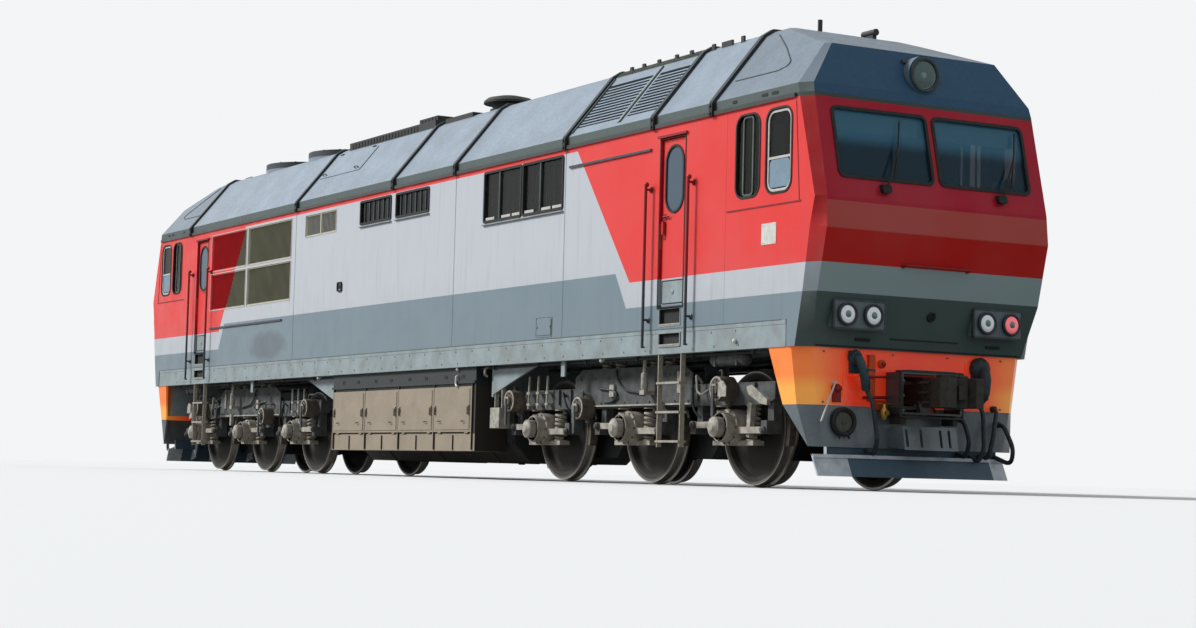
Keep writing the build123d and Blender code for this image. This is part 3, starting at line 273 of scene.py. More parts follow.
def addNode(tree, kind, settings={}, links={}, out=0):
    # settings and links go by a socket's name or number, other settings are the node's own, colours may be hex;
    # gives one output
    node = tree.nodes.new("ShaderNode" + kind)
    for key, value in settings.items():
        if isinstance(key, int) or key in node.inputs:
            isHex = isinstance(value, str) and value.startswith("#")
            node.inputs[key].default_value = toLinear(value) if isHex else value
        else:
            setattr(node, key, value)
    for key, source in links.items():
        tree.links.new(source, node.inputs[key])
    return node.outputs[out] if len(node.outputs) else node


# settings that many nodes share: a Mix for colours has its factor at 0, its colours at 6 and 7, its result at 2
rgba = {"data_type": "RGBA"}
times, more, less, either = ({"operation": o} for o in ("MULTIPLY", "GREATER_THAN", "LESS_THAN", "MAXIMUM"))
size = {"operation": "ABSOLUTE"}


def startMaterial(name, settings={}):
    # gives the material, a way to add its nodes, a way to link into its shader, and the place on the object
    material = bpy.data.materials.new(name)
    material.use_nodes = True
    tree = material.node_tree
    tree.nodes.clear()
    add = partial(addNode, tree)
    surface = add("BsdfPrincipled", settings)
    add("OutputMaterial", links={"Surface": surface})

    def wire(sources):
        for socket, source in sources.items():
            tree.links.new(source, surface.node.inputs[socket])
    return material, add, wire, add("TexCoord", out="Object")


def bumpOf(add, *heights):
    # heights: (height socket, depth in mm), each laid over the one before
    normal = {}
    for height, depthMm in heights:
        normal = {"Normal": add("Bump", {"Distance": depthMm / 1000}, {"Height": height, **normal})}
    return normal


def within(low, high):
    # settings of a Math node that tests for a value between two numbers
    return {"operation": "COMPARE", 1: (low + high) / 2, 2: (high - low) / 2}


# sprayed alkyd enamel on steel sheet: smooth and half glossy, with road dust that washes down in streaks
# the nose tones are deeper than the sides' in part as painted shade, and the corner tones, darker still, are
# painted shade of the corner facets
livery = {"red": "#e23a37", "light": "#bcc0c7", "low": "#748690", "gutter": "#3b4240", "noseRed": "#c2120c",
          # the crimson of the upper nose, where it leans back, is a painted reflection of the sky
          "noseHigh": "#b3062a", "noseHighZ": 2.86 + rail, "noseLight": "#94a8aa", "noseLow": "#485c5a",
          # the pale band on the upright part of the nose is a painted reflection
          "noseBand": "#b06a60", "noseBandAt": (2.58 + rail, 2.86 + rail), "noseBandCover": 0.45,
          "cornerRed": "#9c1015", "cornerLight": "#6c7a81", "cornerLow": "#3b4b49",
          # the slanted edges of the red: how far x moves for each metre up, and x where z is 0
          "front": (0.795, 5.33 + 0.795 * (3.85 + rail)), "rear": (0.665, -5.75 - 0.665 * (3.89 + rail)),
          "redBottom": 2.245 + rail, "lowTop": 2.365 + rail, "lowTopEnds": 1.955 + rail,
          "stepFront": (6.28, 6.54), "stepRear": (-6.6, -6.84), "stripe": 3.885 + rail, "eave": 3.938 + rail,
          "seamX": 8.61, "seamHalf": 0.004, "stain": (-4.62, 1.96), "stainSize": (0.8, 0.25)}


def liveryColor(add, place):
    look = livery
    x, y, z = add("SeparateXYZ", links={0: place}).node.outputs
    # red lies ahead of the front slanted line, behind the rear one, and above the light band
    ends = {}
    for i, (test, side, (slope, edge)) in enumerate(((more, 1, look["front"]), (less, -1, look["rear"]))):
        along = add("VectorMath", {"operation": "DOT_PRODUCT", 1: (1, 0, side * slope)}, {0: place}, "Value")
        ends[i] = add("Math", {**test, 1: edge}, {0: along})
    ends = add("Math", either, ends)
    high, stripe, lifted, eave = (add("Math", {**more, 1: look[name]}, {0: z})
        for name in ("redBottom", "stripe", "noseHighZ", "eave"))
    isRed = add("Math", either, {0: add("Math", times, {0: ends, 1: high}), 1: stripe})
    # the blue-grey band steps down near both cabs
    steps = {}
    for i, (start, stop) in enumerate((look["stepFront"], look["stepRear"])):
        steps[i] = add("MapRange", {1: start, 2: stop, 3: look["lowTop"], 4: look["lowTopEnds"]}, {0: x})
    isLow = add("Math", less, {0: z, 1: add("Math", {"operation": "MINIMUM"}, steps)})
    # the nose is painted deeper than the sides, in part as painted shade of a nose turned away from the key
    # light, and its corner facets darker still as painted shade
    facing = add("SeparateXYZ", links={0: add("TexCoord", out="Normal")})
    facing = add("Math", size, {0: facing})
    onCorner, onFront = (add("MapRange", {1: low, 2: high}, {0: facing})
        for low, high in ((0.12, 0.4), (0.6, 0.75)))
    # where the upper nose leans back its red turns crimson, a painted reflection of the sky
    noseRed = add("Mix", {**rgba, 6: look["noseRed"], 7: look["noseHigh"]}, {0: lifted}, 2)
    tones = []
    for part, nose in (("Light", {}), ("Low", {}), ("Red", {7: noseRed})):
        tone = add("Mix", {**rgba, 6: look[part.lower()], 7: look["corner" + part]}, {0: onCorner}, 2)
        tones.append(add("Mix", {**rgba, 7: look["nose" + part]}, {0: onFront, 6: tone, **nose}, 2))
    color = add("Mix", rgba, {0: isLow, 6: tones[0], 7: tones[1]}, 2)
    color = add("Mix", rgba, {0: isRed, 6: color, 7: tones[2]}, 2)
    # a pale band across the upright part of the nose is a painted reflection
    band = add("Math", within(*look["noseBandAt"]), {0: z})
    band = add("Math", times, {0: band, 1: onFront})
    band = add("Math", {**times, 1: look["noseBandCover"]}, {0: band})
    for mask, tone in ((band, "noseBand"), (eave, "gutter")):
        color = add("Mix", {**rgba, 7: look[tone]}, {0: mask, 6: color}, 2)
    return color, isRed, onFront, x, z


def sprayedEnamelLivery():
    material, add, wire, place = startMaterial("sprayedEnamelLivery", {"Specular IOR Level": 0.18})
    color, isRed, onFront, x, z = liveryColor(add, place)
    washed = add("MapRange", {3: 1.0, 4: 0.1}, {0: onFront})
    # sun-bleached patches about 0.9 m wide
    fade = add("TexNoise", {"Scale": 1 / 0.9, "Detail": 4.0}, {0: place})
    fade = add("MapRange", {1: 0.35, 2: 0.75, 3: 0.0, 4: 0.03}, {0: fade})
    # dust film that thickens towards the sole bar
    patches = add("TexNoise", {"Scale": 1 / 0.26, "Detail": 5.0}, {0: place})
    film = add("MapRange", {1: 2.7, 2: 1.45, 3: 0.02, 4: 0.3}, {0: z})
    for mask in (add("MapRange", {1: 0.3, 2: 0.7, 3: 0.3, 4: 1.0}, {0: patches}), washed):
        film = add("Math", times, {0: film, 1: mask})
    # oil blown from the radiators has left one dark, cloudy stain low on the wall
    (atX, atZ), (wide, tall) = livery["stain"], livery["stainSize"]
    stain = add("Mapping", {1: (-atX / wide, 0.0, -atZ / tall), 3: (1 / wide, 0.0, 1 / tall)}, {0: place})
    stain = add("VectorMath", {"operation": "LENGTH"}, {0: stain}, "Value")
    stain = add("Math", {"operation": "ADD"}, {0: stain, 1: patches})
    stain = add("MapRange", {1: 1.5, 2: 1.2, 3: 0.0, 4: 0.5}, {0: stain})
    # rain streaks 70 mm wide, long downwards
    streak = add("Mapping", {3: (1, 1, 0.06)}, {0: place})
    streak = add("TexNoise", {"Scale": 1 / 0.07, "Detail": 4.0}, {0: streak})
    streak = add("MapRange", {1: 0.54, 2: 0.74, 3: 0.0, 4: 0.14}, {0: streak})
    streak = add("Math", times, {0: streak, 1: washed})
    # the joint between the wall and the cab is a filled groove
    seam = add("Math", {"operation": "COMPARE", 1: livery["seamX"], 2: livery["seamHalf"]},
        {0: add("Math", size, {0: x})})
    seam = add("Math", {**times, 1: 0.5}, {0: seam})
    for mask, tone in ((fade, "#e9e4e0"), (film, "#7f827f"), (stain, "#565a60"),
        (streak, "#5d6063"), (seam, "#2c2f33")):
        color = add("Mix", {**rgba, 7: tone}, {0: mask, 6: color}, 2)
    gloss = add("MapRange", {1: 0.3, 2: 0.7, 3: 0.28, 4: 0.46}, {0: patches})
    # sheet that waves between its ribs, 0.6 m apart, under the orange peel of spray, drawn at 9 mm to show
    wave, peel = (add("TexNoise", {"Scale": 1 / apart, "Detail": 1.0}, {0: place}) for apart in (0.6, 0.009))
    wire({"Base Color": color, "Roughness": gloss, **bumpOf(add, (wave, 3.5), (peel, 0.06))})
    return material


# painted and cast surfaces: colour, what settles on it, how much of it, patches in mm, roughness, bumps in mm
finishes = {
    "dullRoofEnamel": ("#8896a4", "#5a646c", 0.35, 420, (0.46, 0.64), 0.15),  # sprayed, dulled by soot and rain
    "dullCabRoofEnamel": ("#74828e", "#4f5a62", 0.35, 420, (0.5, 0.68), 0.1),  # the same under more soot
    "darkGutterEnamel": ("#3f4b49", "#24292a", 0.5, 120, (0.45, 0.65), 0.4),  # brushed on, chipped
    "soleBarEnamel": ("#93a2a6", "#6d6a62", 0.5, 240, (0.4, 0.6), 0.4),  # sprayed, a touch paler than the wall
    "grimyCastSteel": ("#5c5f60", "#2f2d2a", 0.75, 130, (0.62, 0.86), 1.6),  # sand cast, brake dust baked on
    "dustyAxleBoxIron": ("#b3ada0", "#5a534a", 0.6, 90, (0.6, 0.85), 1.5),  # sand cast, pale road dust
    "dustyBrakeIron": ("#6b6257", "#352e28", 0.7, 80, (0.6, 0.85), 1.3),  # cast, brown brake dust
    "paleBogieEnamel": ("#b4b1a6", "#5c564d", 0.6, 60, (0.5, 0.75), 0.8),  # brushed on rods and brackets
    "blackTankPaint": ("#2b2f32", "#4d4942", 0.5, 300, (0.5, 0.75), 0.8),  # bitumen paint under mud
    "dustyBoxPaint": ("#9a8d7c", "#837967", 0.5, 260, (0.5, 0.75), 0.5),  # grey paint under pale dust
    "scuffedPloughPaint": ("#c6ced3", "#7d8a92", 0.6, 150, (0.4, 0.65), 0.8),  # rolled plate, pale as a painted highlight of the sunlit wings
    "castCouplerSteel": ("#37352f", "#1c1a18", 0.7, 60, (0.45, 0.75), 1.8),  # sand cast, greasy
    "greyLampEnamel": ("#66757c", "#3c4347", 0.35, 90, (0.4, 0.6), 0.3),  # sprayed pressing
    "darkRailEnamel": ("#333e4a", "#6a6258", 0.3, 60, (0.35, 0.55), 0.2),  # brushed on drawn tube
    "darkRedEnamel": ("#8f1719", "#4d1a18", 0.35, 60, (0.35, 0.55), 0.2),  # brushed, older than the walls' red
    "greasyFloorSteel": ("#3d4042", "#24221f", 0.6, 200, (0.5, 0.75), 0.8),  # welded casing, oily
    "creamCabinPaint": ("#9fa296", "#7d7f74", 0.35, 300, (0.45, 0.6), 0.2),  # brushed indoors
    "greenEngineEnamel": ("#5c6a5e", "#2c2a26", 0.5, 200, (0.4, 0.6), 0.8),  # sprayed casting
    "mouldedDeskPlastic": ("#33383c", "#232629", 0.3, 40, (0.5, 0.62), 0.15),  # grained moulding
    "sootBlackEnamel": ("#25292b", "#3b3a37", 0.5, 150, (0.5, 0.7), 0.4),  # sprayed, exhaust soot on it
    "darkTealEnamel": ("#2b5068", "#2b3a45", 0.35, 150, (0.42, 0.6), 0.3),  # sprayed on the headlamp's housing
    "tornGuideSteel": ("#33322f", "#1b1a18", 0.6, 80, (0.45, 0.7), 0.8),  # greasy plate round the coupler
    "blackSealRubber": ("#17191b", "#3a3834", 0.3, 50, (0.6, 0.8), 0.2),  # extruded, dusty
    "treadPlateSteel": ("#aea89b", "#6c655a", 0.5, 60, (0.45, 0.65), 0.6),  # pressed, worn bright
    "tealValveEnamel": ("#2c4a52", "#1a2629", 0.5, 40, (0.35, 0.55), 0.6),  # brushed casting
    "orangeBarEnamel": ("#e5531f", "#8e3a22", 0.4, 90, (0.35, 0.55), 0.3),  # the apron's paint on its bars
    "blackBrakePipe": ("#1b2328", "#3b4a50", 0.5, 40, (0.45, 0.65), 0.3),  # drawn steel under black paint
    "darkStreakedOlive": ("#5f655c", "#34382f", 0.6, 200, (0.5, 0.7), 0.6),  # old paint over the intake
    "whiteSpotEnamel": ("#d8d8d2", "#8f8d85", 0.35, 50, (0.35, 0.55), 0.2),  # brushed marks and small taps
    "paleBlueBlind": ("#7b92a2", "#657a8b", 0.4, 90, (0.35, 0.5), 0.1),  # pale blue panel inside the pane, a painted reflection of the sky
    "paleSashEnamel": ("#c9c4be", "#8f8a82", 0.3, 50, (0.35, 0.5), 0.2),  # sprayed window frame
}
dustTone = "#8d8577"


def coatedSurface(name):
    color, dirt, amount, patchMm, rough, bumpMm = finishes[name]
    material, add, wire, place = startMaterial(name, {"Specular IOR Level": 0.3})
    patches = add("TexNoise", {"Scale": 1000 / patchMm, "Detail": 6.0}, {0: place})
    fine = add("TexNoise", {"Scale": 9000 / patchMm, "Detail": 4.0}, {0: place})
    shade = add("MapRange", {1: 0.32, 2: 0.68, 3: 0.0, 4: amount}, {0: patches})
    spots = add("MapRange", {1: 0.5, 2: 0.75, 3: 0.0, 4: amount * 0.5}, {0: fine})
    # dust lies on what faces up
    up = add("SeparateXYZ", links={0: add("NewGeometry", out="Normal")}, out=2)
    dust = add("MapRange", {1: 0.4, 2: 1.0, 3: 0.0, 4: 0.5 * amount}, {0: up})
    dust = add("Math", times, {0: dust, 1: patches})
    tone = add("Mix", {**rgba, 6: color, 7: dirt}, {0: shade}, 2)
    for mask, over in ((spots, dirt), (dust, dustTone)):
        tone = add("Mix", {**rgba, 7: over}, {0: mask, 6: tone}, 2)
    gloss = add("MapRange", {1: 0.3, 2: 0.7, 3: rough[0], 4: rough[1]}, {0: fine})
    wire({"Base Color": tone, "Roughness": gloss, **bumpOf(add, (fine, bumpMm))})
    return material, add, wire, place, tone


def paintedOver(base, name, areas):
    # one of the finishes with other colours where each value named lies between two numbers;
    # side is the distance from the middle plane, end how squarely the face looks along the track
    material, add, wire, place, tone = coatedSurface(base)
    material.name = name
    x, y, z = add("SeparateXYZ", links={0: place}).node.outputs
    ahead = add("SeparateXYZ", links={0: add("TexCoord", out="Normal")})
    side, end = (add("Math", size, {0: source}) for source in (y, ahead))
    sources = {"x": x, "side": side, "z": z, "end": end}
    for tests, color in areas:
        mask = None
        for axis, low, high in tests:
            span = add("Math", within(low, high), {0: sources[axis]})
            mask = add("Math", times, {0: mask, 1: span}) if mask else span
        mask = add("Math", {**times, 1: 0.94}, {0: mask})
        tone = add("Mix", {**rgba, 7: color}, {0: mask, 6: tone}, 2)
    wire({"Base Color": tone})
    return material


# rolled steel tyre: bright where the rail and the brake blocks rub it, brown with brake dust on the web
tyre = {"tread": (0.6, 0.607), "rim": (0.572, 0.584), "web": ("#171513", "#25221f"),
    "face": ("#4a453f", "#716a60"), "worn": "#b4b2ae"}


def rolledWheelSteel(axleX):
    material, add, wire, place = startMaterial("rolledWheelSteel")
    offset = add("VectorMath", {"operation": "SUBTRACT", 1: (axleX, 0, rail + axleZ)}, {0: place})
    offset = add("VectorMath", {"operation": "MULTIPLY", 1: (1, 0, 1)}, {0: offset})
    radius = add("VectorMath", {"operation": "LENGTH"}, {0: offset}, "Value")
    rough = add("TexNoise", {"Scale": 1 / 0.06, "Detail": 5.0}, {0: place})
    tread, rim = (add("MapRange", {1: tyre[part][0], 2: tyre[part][1]}, {0: radius})
        for part in ("tread", "rim"))
    web, face = (add("Mix", {**rgba, 6: tyre[part][0], 7: tyre[part][1]}, {0: rough}, 2)
        for part in ("web", "face"))
    color = add("Mix", rgba, {0: rim, 6: web, 7: face}, 2)
    color = add("Mix", {**rgba, 7: tyre["worn"]}, {0: tread, 6: color}, 2)
    gloss = add("MapRange", {3: 0.72, 4: 0.3}, {0: tread})
    wire({"Base Color": color, "Metallic": tread, "Roughness": gloss, **bumpOf(add, (rough, 0.8))})
    return material


# signal orange sprayed over the upper apron, grey under it, with stone chips along the lower edge
apronLook = {"orange": ("#f83c1c", "#f25a2c"), "yellow": "#ffb24e", "yellowY": (0.85, 1.25),
    "yellowZ": (1.16, 1.02), "grey": ("#6a767b", "#454d51"), "splitZ": 0.83 + rail, "glow": 0.2,
    "guide": "#2b2e30", "guideY": 0.392, "guideX": 10.012, "guideZ": 0.72 + rail, "chip": "#3a3632"}


def apronEnamel():
    material, add, wire, place = startMaterial("apronEnamel", {"Coat Weight": 0.15})
    x, y, z = add("SeparateXYZ", links={0: place}).node.outputs
    look = apronLook
    patches = add("TexNoise", {"Scale": 1 / 0.35, "Detail": 3.0}, {0: place})
    shade = add("MapRange", {1: 0.42, 2: 0.68, 3: 0.0, 4: 0.75}, {0: patches})
    orange, grey = (add("Mix", {**rgba, 6: look[part][0], 7: look[part][1]}, {0: shade}, 2)
        for part in ("orange", "grey"))
    # towards both corners the orange turns yellow, most along its lower edge: a painted highlight
    (y0, y1), (z0, z1) = look["yellowY"], look["yellowZ"]
    worn = add("MapRange", {1: y0, 2: y1}, {0: add("Math", size, {0: y})})
    worn = add("Math", times, {0: worn, 1: add("MapRange", {1: z0, 2: z1, 3: 0.4, 4: 0.9}, {0: z})})
    orange = add("Mix", {**rgba, 7: look["yellow"]}, {0: worn, 6: orange}, 2)
    upper = add("Math", {**more, 1: look["splitZ"]}, {0: z})
    color = add("Mix", rgba, {0: upper, 6: grey, 7: orange}, 2)
    # the box that the coupler comes out of is dark with grease
    guide = add("Math", {"operation": "COMPARE", 1: 0.0, 2: look["guideY"]}, {0: y})
    for source, edge in ((add("Math", size, {0: x}), "guideX"), (z, "guideZ")):
        guide = add("Math", times, {0: guide, 1: add("Math", {**more, 1: look[edge]}, {0: source})})
    # stone chips about 14 mm wide
    chips = add("TexNoise", {"Scale": 1 / 0.014, "Detail": 3.0}, {0: place})
    chips = add("MapRange", {1: 0.62, 2: 0.66}, {0: chips})
    chips = add("Math", times, {0: chips, 1: add("MapRange", {1: 1.1, 2: 0.35, 3: 0.0, 4: 0.7}, {0: z})})
    for mask, tone in ((guide, "guide"), (chips, "chip")):
        color = add("Mix", {**rgba, 7: look[tone]}, {0: mask, 6: color}, 2)
    # the upper apron glows a little in its own colour: painted light that brightens the orange
    glow = add("Math", {**times, 1: look["glow"]}, {0: upper})
    gloss = add("MapRange", {1: 0.3, 2: 0.7, 3: 0.32, 4: 0.52}, {0: patches})
    wire({"Base Color": color, "Emission Color": color, "Emission Strength": glow, "Roughness": gloss,
            **bumpOf(add, (patches, 4.0), (chips, 0.25))})
    return material


# pressed louvre blades: olive with exhaust and dust, red where the side's red runs across them
louvreTones = (("#b9bbab", "#98977d"), ("#ea4046", "#cf3036"))


def louvreEnamel():
    material, add, wire, place = startMaterial("louvreEnamel", {"Roughness": 0.6})
    isRed = liveryColor(add, place)[1]
    patches = add("TexNoise", {"Scale": 1 / 0.3, "Detail": 5.0}, {0: place})
    olive, red = (add("Mix", {**rgba, 6: a, 7: b}, {0: patches}, 2) for a, b in louvreTones)
    grit = add("TexNoise", {"Scale": 1 / 0.03, "Detail": 4.0}, {0: place})
    wire({"Base Color": add("Mix", rgba, {0: isRed, 6: olive, 7: red}, 2), **bumpOf(add, (grit, 0.5))})
    return material


# tempered float glass, tinted in the melt: dark from outside, with a clean reflection under a film of dust
def tintedGlass(name, tint, cover, upper=None, heights=(3.44, 3.56)):
    # upper: the tone above those heights, a painted reflection of the sky on the pane
    material, add, wire, place = startMaterial(name, {"IOR": 1.5, "Specular IOR Level": 0.2, "Alpha": cover})
    z = add("SeparateXYZ", links={0: place}, out=2)
    lifted = add("MapRange", {1: heights[0] + rail, 2: heights[1] + rail}, {0: z})
    dust = add("TexNoise", {"Scale": 1 / 0.16, "Detail": 5.0}, {0: place})
    wire({"Base Color": add("Mix", {**rgba, 6: tint, 7: upper or tint}, {0: lifted}, 2),
            "Roughness": add("MapRange", {1: 0.45, 2: 0.8, 3: 0.03, 4: 0.14}, {0: dust})})
    return material


def bareMetal(name, color, worn, roughness):
    # long scratches 6 mm apart, with dirt in them
    material, add, wire, place = startMaterial(name, {"Metallic": 1.0})
    wear = add("Mapping", {3: (1, 1, 0.1)}, {0: place})
    wear = add("TexNoise", {"Scale": 1 / 0.006, "Detail": 4.0}, {0: wear})
    wire({"Base Color": add("Mix", {**rgba, 6: color, 7: worn}, {0: wear}, 2),
            "Roughness": add("MapRange", {1: 0.3, 2: 0.7, 3: roughness, 4: roughness + 0.2}, {0: wear})})
    return material


# pressed lamp glass with upright flutes 8 mm apart, which spread the light over the whole lens
def pressedLampGlass(name, color, glow):
    material, add, wire, place = startMaterial(name, {"Base Color": color, "Roughness": 0.12, "IOR": 1.5,
            "Coat Weight": 0.6, "Emission Color": color, "Emission Strength": glow})
    flutes = add("TexWave", {"bands_direction": "Y", "Scale": 1 / 0.008 / 20}, {0: place}, 1)
    wire(bumpOf(add, (flutes, 0.8)))
    return material


# wool-blend seat cloth: woven, its 2 mm threads drawn at 6 mm so that they show
def wovenSeatCloth():
    material, add, wire, place = startMaterial("wovenSeatCloth", {"Roughness": 0.9, "Sheen Weight": 0.4})
    weave = add("TexChecker", {"Scale": 1 / 0.006, "Color1": "#39414f", "Color2": "#2b3140"}, {0: place})
    wire({"Base Color": weave, **bumpOf(add, (weave.node.outputs[1], 0.6))})
    return material


print("materials")
roofZ = {"foot": (3.9, 4.084 + rail), "crown": (4.962 + rail, 5.3), "ribHalf": 0.036,
    "ribX": (-8.324, -3.544, 0.02, 2.0, 5.02, 7.09, 8.324)}
ribBands = [((("x", x - roofZ["ribHalf"], x + roofZ["ribHalf"]), ("z", 3.9, 5.2)), "#1f2526")
    for x in roofZ["ribX"]]
roofFoot = ((("z", *roofZ["foot"]),), "#45524e")
coats = {name: coatedSurface(name)[0] for name in finishes}
coats |= {"bodyEnamel": sprayedEnamelLivery(), "apron": apronEnamel(), "louvre": louvreEnamel(),
    "roofEnamel": paintedOver("dullRoofEnamel", "soot-dulled_roof_enamel",
        [roofFoot, *ribBands, ((("z", *roofZ["crown"]),), "#2c3234")]),
    # the cab roofs' front faces are painted dark blue as painted shade
    "cabRoofEnamel": paintedOver("dullCabRoofEnamel", "rain-dulled_cab_roof_enamel",
        [roofFoot, ((("end", 0.7, 1.2), ("z", 4.0, 4.9)), "#1f4d6c")]),
    # the boxes' end faces are near black as painted shade
    "batteryPaint": paintedOver("dustyBoxPaint", "dusty_box_paint_and_dark_frame",
        [((("end", 0.5, 1.2),), "#1b1a17"), ((("z", 1.165 + rail, 1.45),), "#1f292e"),
        ((("z", 0.552 + rail, 1.165 + rail), ("side", 1.39, 1.425)), "#2b2a26")]),
    # the plough's front faces are dark teal as painted shade, beside the pale painted highlight of its wings
    "ploughPaint": paintedOver("scuffedPloughPaint", "two-tone_plough_paint",
        [((("end", 0.86, 1.1),), "#2a4758")]),
    "railEnamel": paintedOver("darkRailEnamel", "two-tone_rail_enamel",
        [((("z", 2.245 + rail, 5.0),), "#8d1b1d")]),
    # the windscreens' paler upper part is a painted reflection of the sky
    "screenGlass": tintedGlass("temperedScreenGlass", "#0b3a4d", 0.6, upper="#3f7f9b"),
    "sideGlass": tintedGlass("tintedSideGlass", "#151817", 0.58),
    # the door panes' near opaque grey-blue is a painted reflection
    "doorGlass": tintedGlass("frostedDoorGlass", "#4f616e", 0.96),
    "headlampGlass": tintedGlass("greenishHeadlampGlass", "#6f8a86", 0.72),
    "chrome": bareMetal("polishedReflectorAlloy", "#d8dade", "#b9bcc0", 0.12),
    "brass": bareMetal("tarnishedValveBrass", "#b8924c", "#6d5730", 0.35),
    "whiteLens": pressedLampGlass("clearPressedLens", "#dfe8ee", 0.12),
    "redLens": pressedLampGlass("redPressedLens", "#ee6f78", 0.45),
    "greyLens": pressedLampGlass("greyPressedLens", "#5d7876", 0.0),
    "seatCloth": wovenSeatCloth()}

# which coat each node of the frame gets; {} stands for either end
nodeCoats = {"bodyEnamel": "side_wall_left side_wall_right cab_{} door_{}_left door_{}_right",
    "soleBarEnamel": "underframe", "screenGlass": "windscreens", "sideGlass": "side_windows",
    "roofEnamel": "roof_cooling roof_engine", "cabRoofEnamel": "roof_cab_{}",
    "sootBlackEnamel": "roof_fittings", "creamCabinPaint": "bulkheads", "mouldedDeskPlastic": "cab_desks",
    "greenEngineEnamel": "engine_block", "blackTankPaint": "fuel_tank", "batteryPaint": "battery_boxes",
    "apron": "end_skirts", "ploughPaint": "ploughs", "greyLampEnamel": "nose_lamps cooling_fan_1 cooling_fan_2",
    "darkTealEnamel": "headlamps", "railEnamel": "grab_rails", "treadPlateSteel": "ladders",
    "castCouplerSteel": "coupler_{}", "grimyCastSteel": "bogie_frame_{}", "dustyAxleBoxIron": "axle_boxes_{}",
    "dustyBrakeIron": "brake_gear_{}", "greasyFloorSteel": "traction_motors_{}",
    "dustyBoxPaint": " ".join(f"battery_cover_{side}_{i}" for side in ("left", "right") for i in (1, 2, 3, 4))}
coatOf = {name.replace("{}", end): coats[coat] for coat, names in nodeCoats.items() for name in names.split()
    for end in ("front", "rear")}
for end, sign in (("front", 1), ("rear", -1)):
    for i, along in enumerate((axlePitch, 0, -axlePitch)):
        coatOf[f"wheelset_{end}_{i + 1}"] = rolledWheelSteel(sign * (bogieX + along))
for name, coat in coatOf.items():
    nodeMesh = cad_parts[name].data
    nodeMesh.materials.clear()
    nodeMesh.materials.append(coat)

# windows of the side walls and cabs
print("windows")
rubber = "blackSealRubber"
windows = {"engine": ((2.86, 3.86, 3.25, 3.86), (3.93, 4.95, 3.25, 3.86)),
    "small": ((-1.11, -0.08, 3.55, 3.85), (0.12, 1.16, 3.55, 3.85)), "mullions": (3.27, 4.37), "gasket": 0.03,
    "proud": 0.014, "barHalf": 0.018, "cab": ((8.8, 9.24), (9.37, 9.83)), "cabZ": (3.0, 3.86),
    "cabCorner": 0.12, "screenY": (0.055, 1.205), "screenZ": (3.13, 3.83), "screenGasket": 0.035}
rings, bars, blinds, sashes, sills, ledges = [], [], [], [], [], []
for x0, x1, z0, z1 in windows["engine"] + windows["small"]:
    rings.append(roundedRing(x0 + 0.006, x1 - 0.006, z0 + 0.006, z1 - 0.006, 0.006, windows["gasket"], "y",
            wallY - 0.02, wallY + windows["proud"]))
    sills.append(wallBlock(x0 - 0.03, x1 + 0.03, z0 - 0.055, z0 - 0.04, 0, 0.03))
for x in windows["mullions"]:
    bars.append(wallBlock(x - windows["barHalf"], x + windows["barHalf"], 3.25, 3.86, -0.03, 0.006))
for x0, x1, z0, z1 in windows["engine"]:
    for i in range(7):
        x = x0 + (x1 - x0) * (i + 0.5) / 7
        blinds.append(wallBlock(x - 0.03, x + 0.03, z0, z1, -0.085, -0.075))
    for x in (x0 + 0.02, x0 + 0.46, x0 + 0.75):
        ledges.append(wallBlock(x, min(x + 0.24, x1 - 0.01), z0 + 0.012, z0 + 0.045, -0.017, -0.006))
for x0, x1, z0, z1 in windows["small"]:
    for i in range(6):
        x = x0 + (x1 - x0) * (i + 0.7) / 6.4
        bars.append(wallBlock(x - 0.012, x + 0.012, z0, z1, -0.016, -0.004))
cabZ0, cabZ1 = windows["cabZ"]
for x0, x1 in windows["cab"]:
    rings += bothEnds([roundedRing(x0 + 0.004, x1 - 0.004, cabZ0 + 0.004, cabZ1 - 0.004, windows["cabCorner"],
            0.022, "y", wallY - 0.03, wallY + 0.008)])
# front pane: pale sash with a dark roller box behind its upper half; rear pane: dark sliding sash
x0, x1 = windows["cab"][1]
sashes += bothEnds([roundedRing(x0 + 0.035, x1 - 0.035, cabZ0 + 0.035, cabZ1 - 0.035, 0.09, 0.026, "y",
        wallY - 0.017, wallY - 0.006), wallBlock(x0 + 0.03, x1 - 0.03, 3.345, 3.37, -0.017, -0.008)])
roller = bothEnds([wallPanel(x0 + 0.045, x0 + 0.27, 3.36, 3.72, 0.03, -0.08, -0.045)])
# a pale blue panel behind the lower half of the front pane is a painted reflection of the sky
cards = bothEnds([wallPanel(x0 + 0.05, x1 - 0.05, 3.05, 3.34, 0.05, -0.018, -0.011)])
x0, x1 = windows["cab"][0]
slider = bothEnds([roundedRing(x0 + 0.13, x1 - 0.15, cabZ0 + 0.03, cabZ1 - 0.03, 0.03, 0.022, "y",
        wallY - 0.017, wallY - 0.006), wallBlock(x0 + 0.15, x1 - 0.17, cabZ0 + 0.04,
        cabZ1 - 0.04, -0.08, -0.07)])
makePiece("window_gaskets", rubber, bothSides(rings))
makePiece("window_bars", "darkGutterEnamel", bothSides(bars), bevel=0.003)
makePiece("window_sills", "soleBarEnamel", bothSides(sills), bevel=0.003)
makePiece("engine_window_ledges", "paleSashEnamel", bothSides(ledges))
makePiece("cab_window_cards", "paleBlueBlind", bothSides(cards))
makePiece("engine_window_slats", "dustyBrakeIron", bothSides(blinds))
makePiece("cab_window_sashes", "paleSashEnamel", bothSides(sashes))
makePiece("cab_window_sliders", "darkStreakedOlive", bothSides(slider))
makePiece("roller_boxes", "mouldedDeskPlastic", bothSides(roller), bevel=0.004)

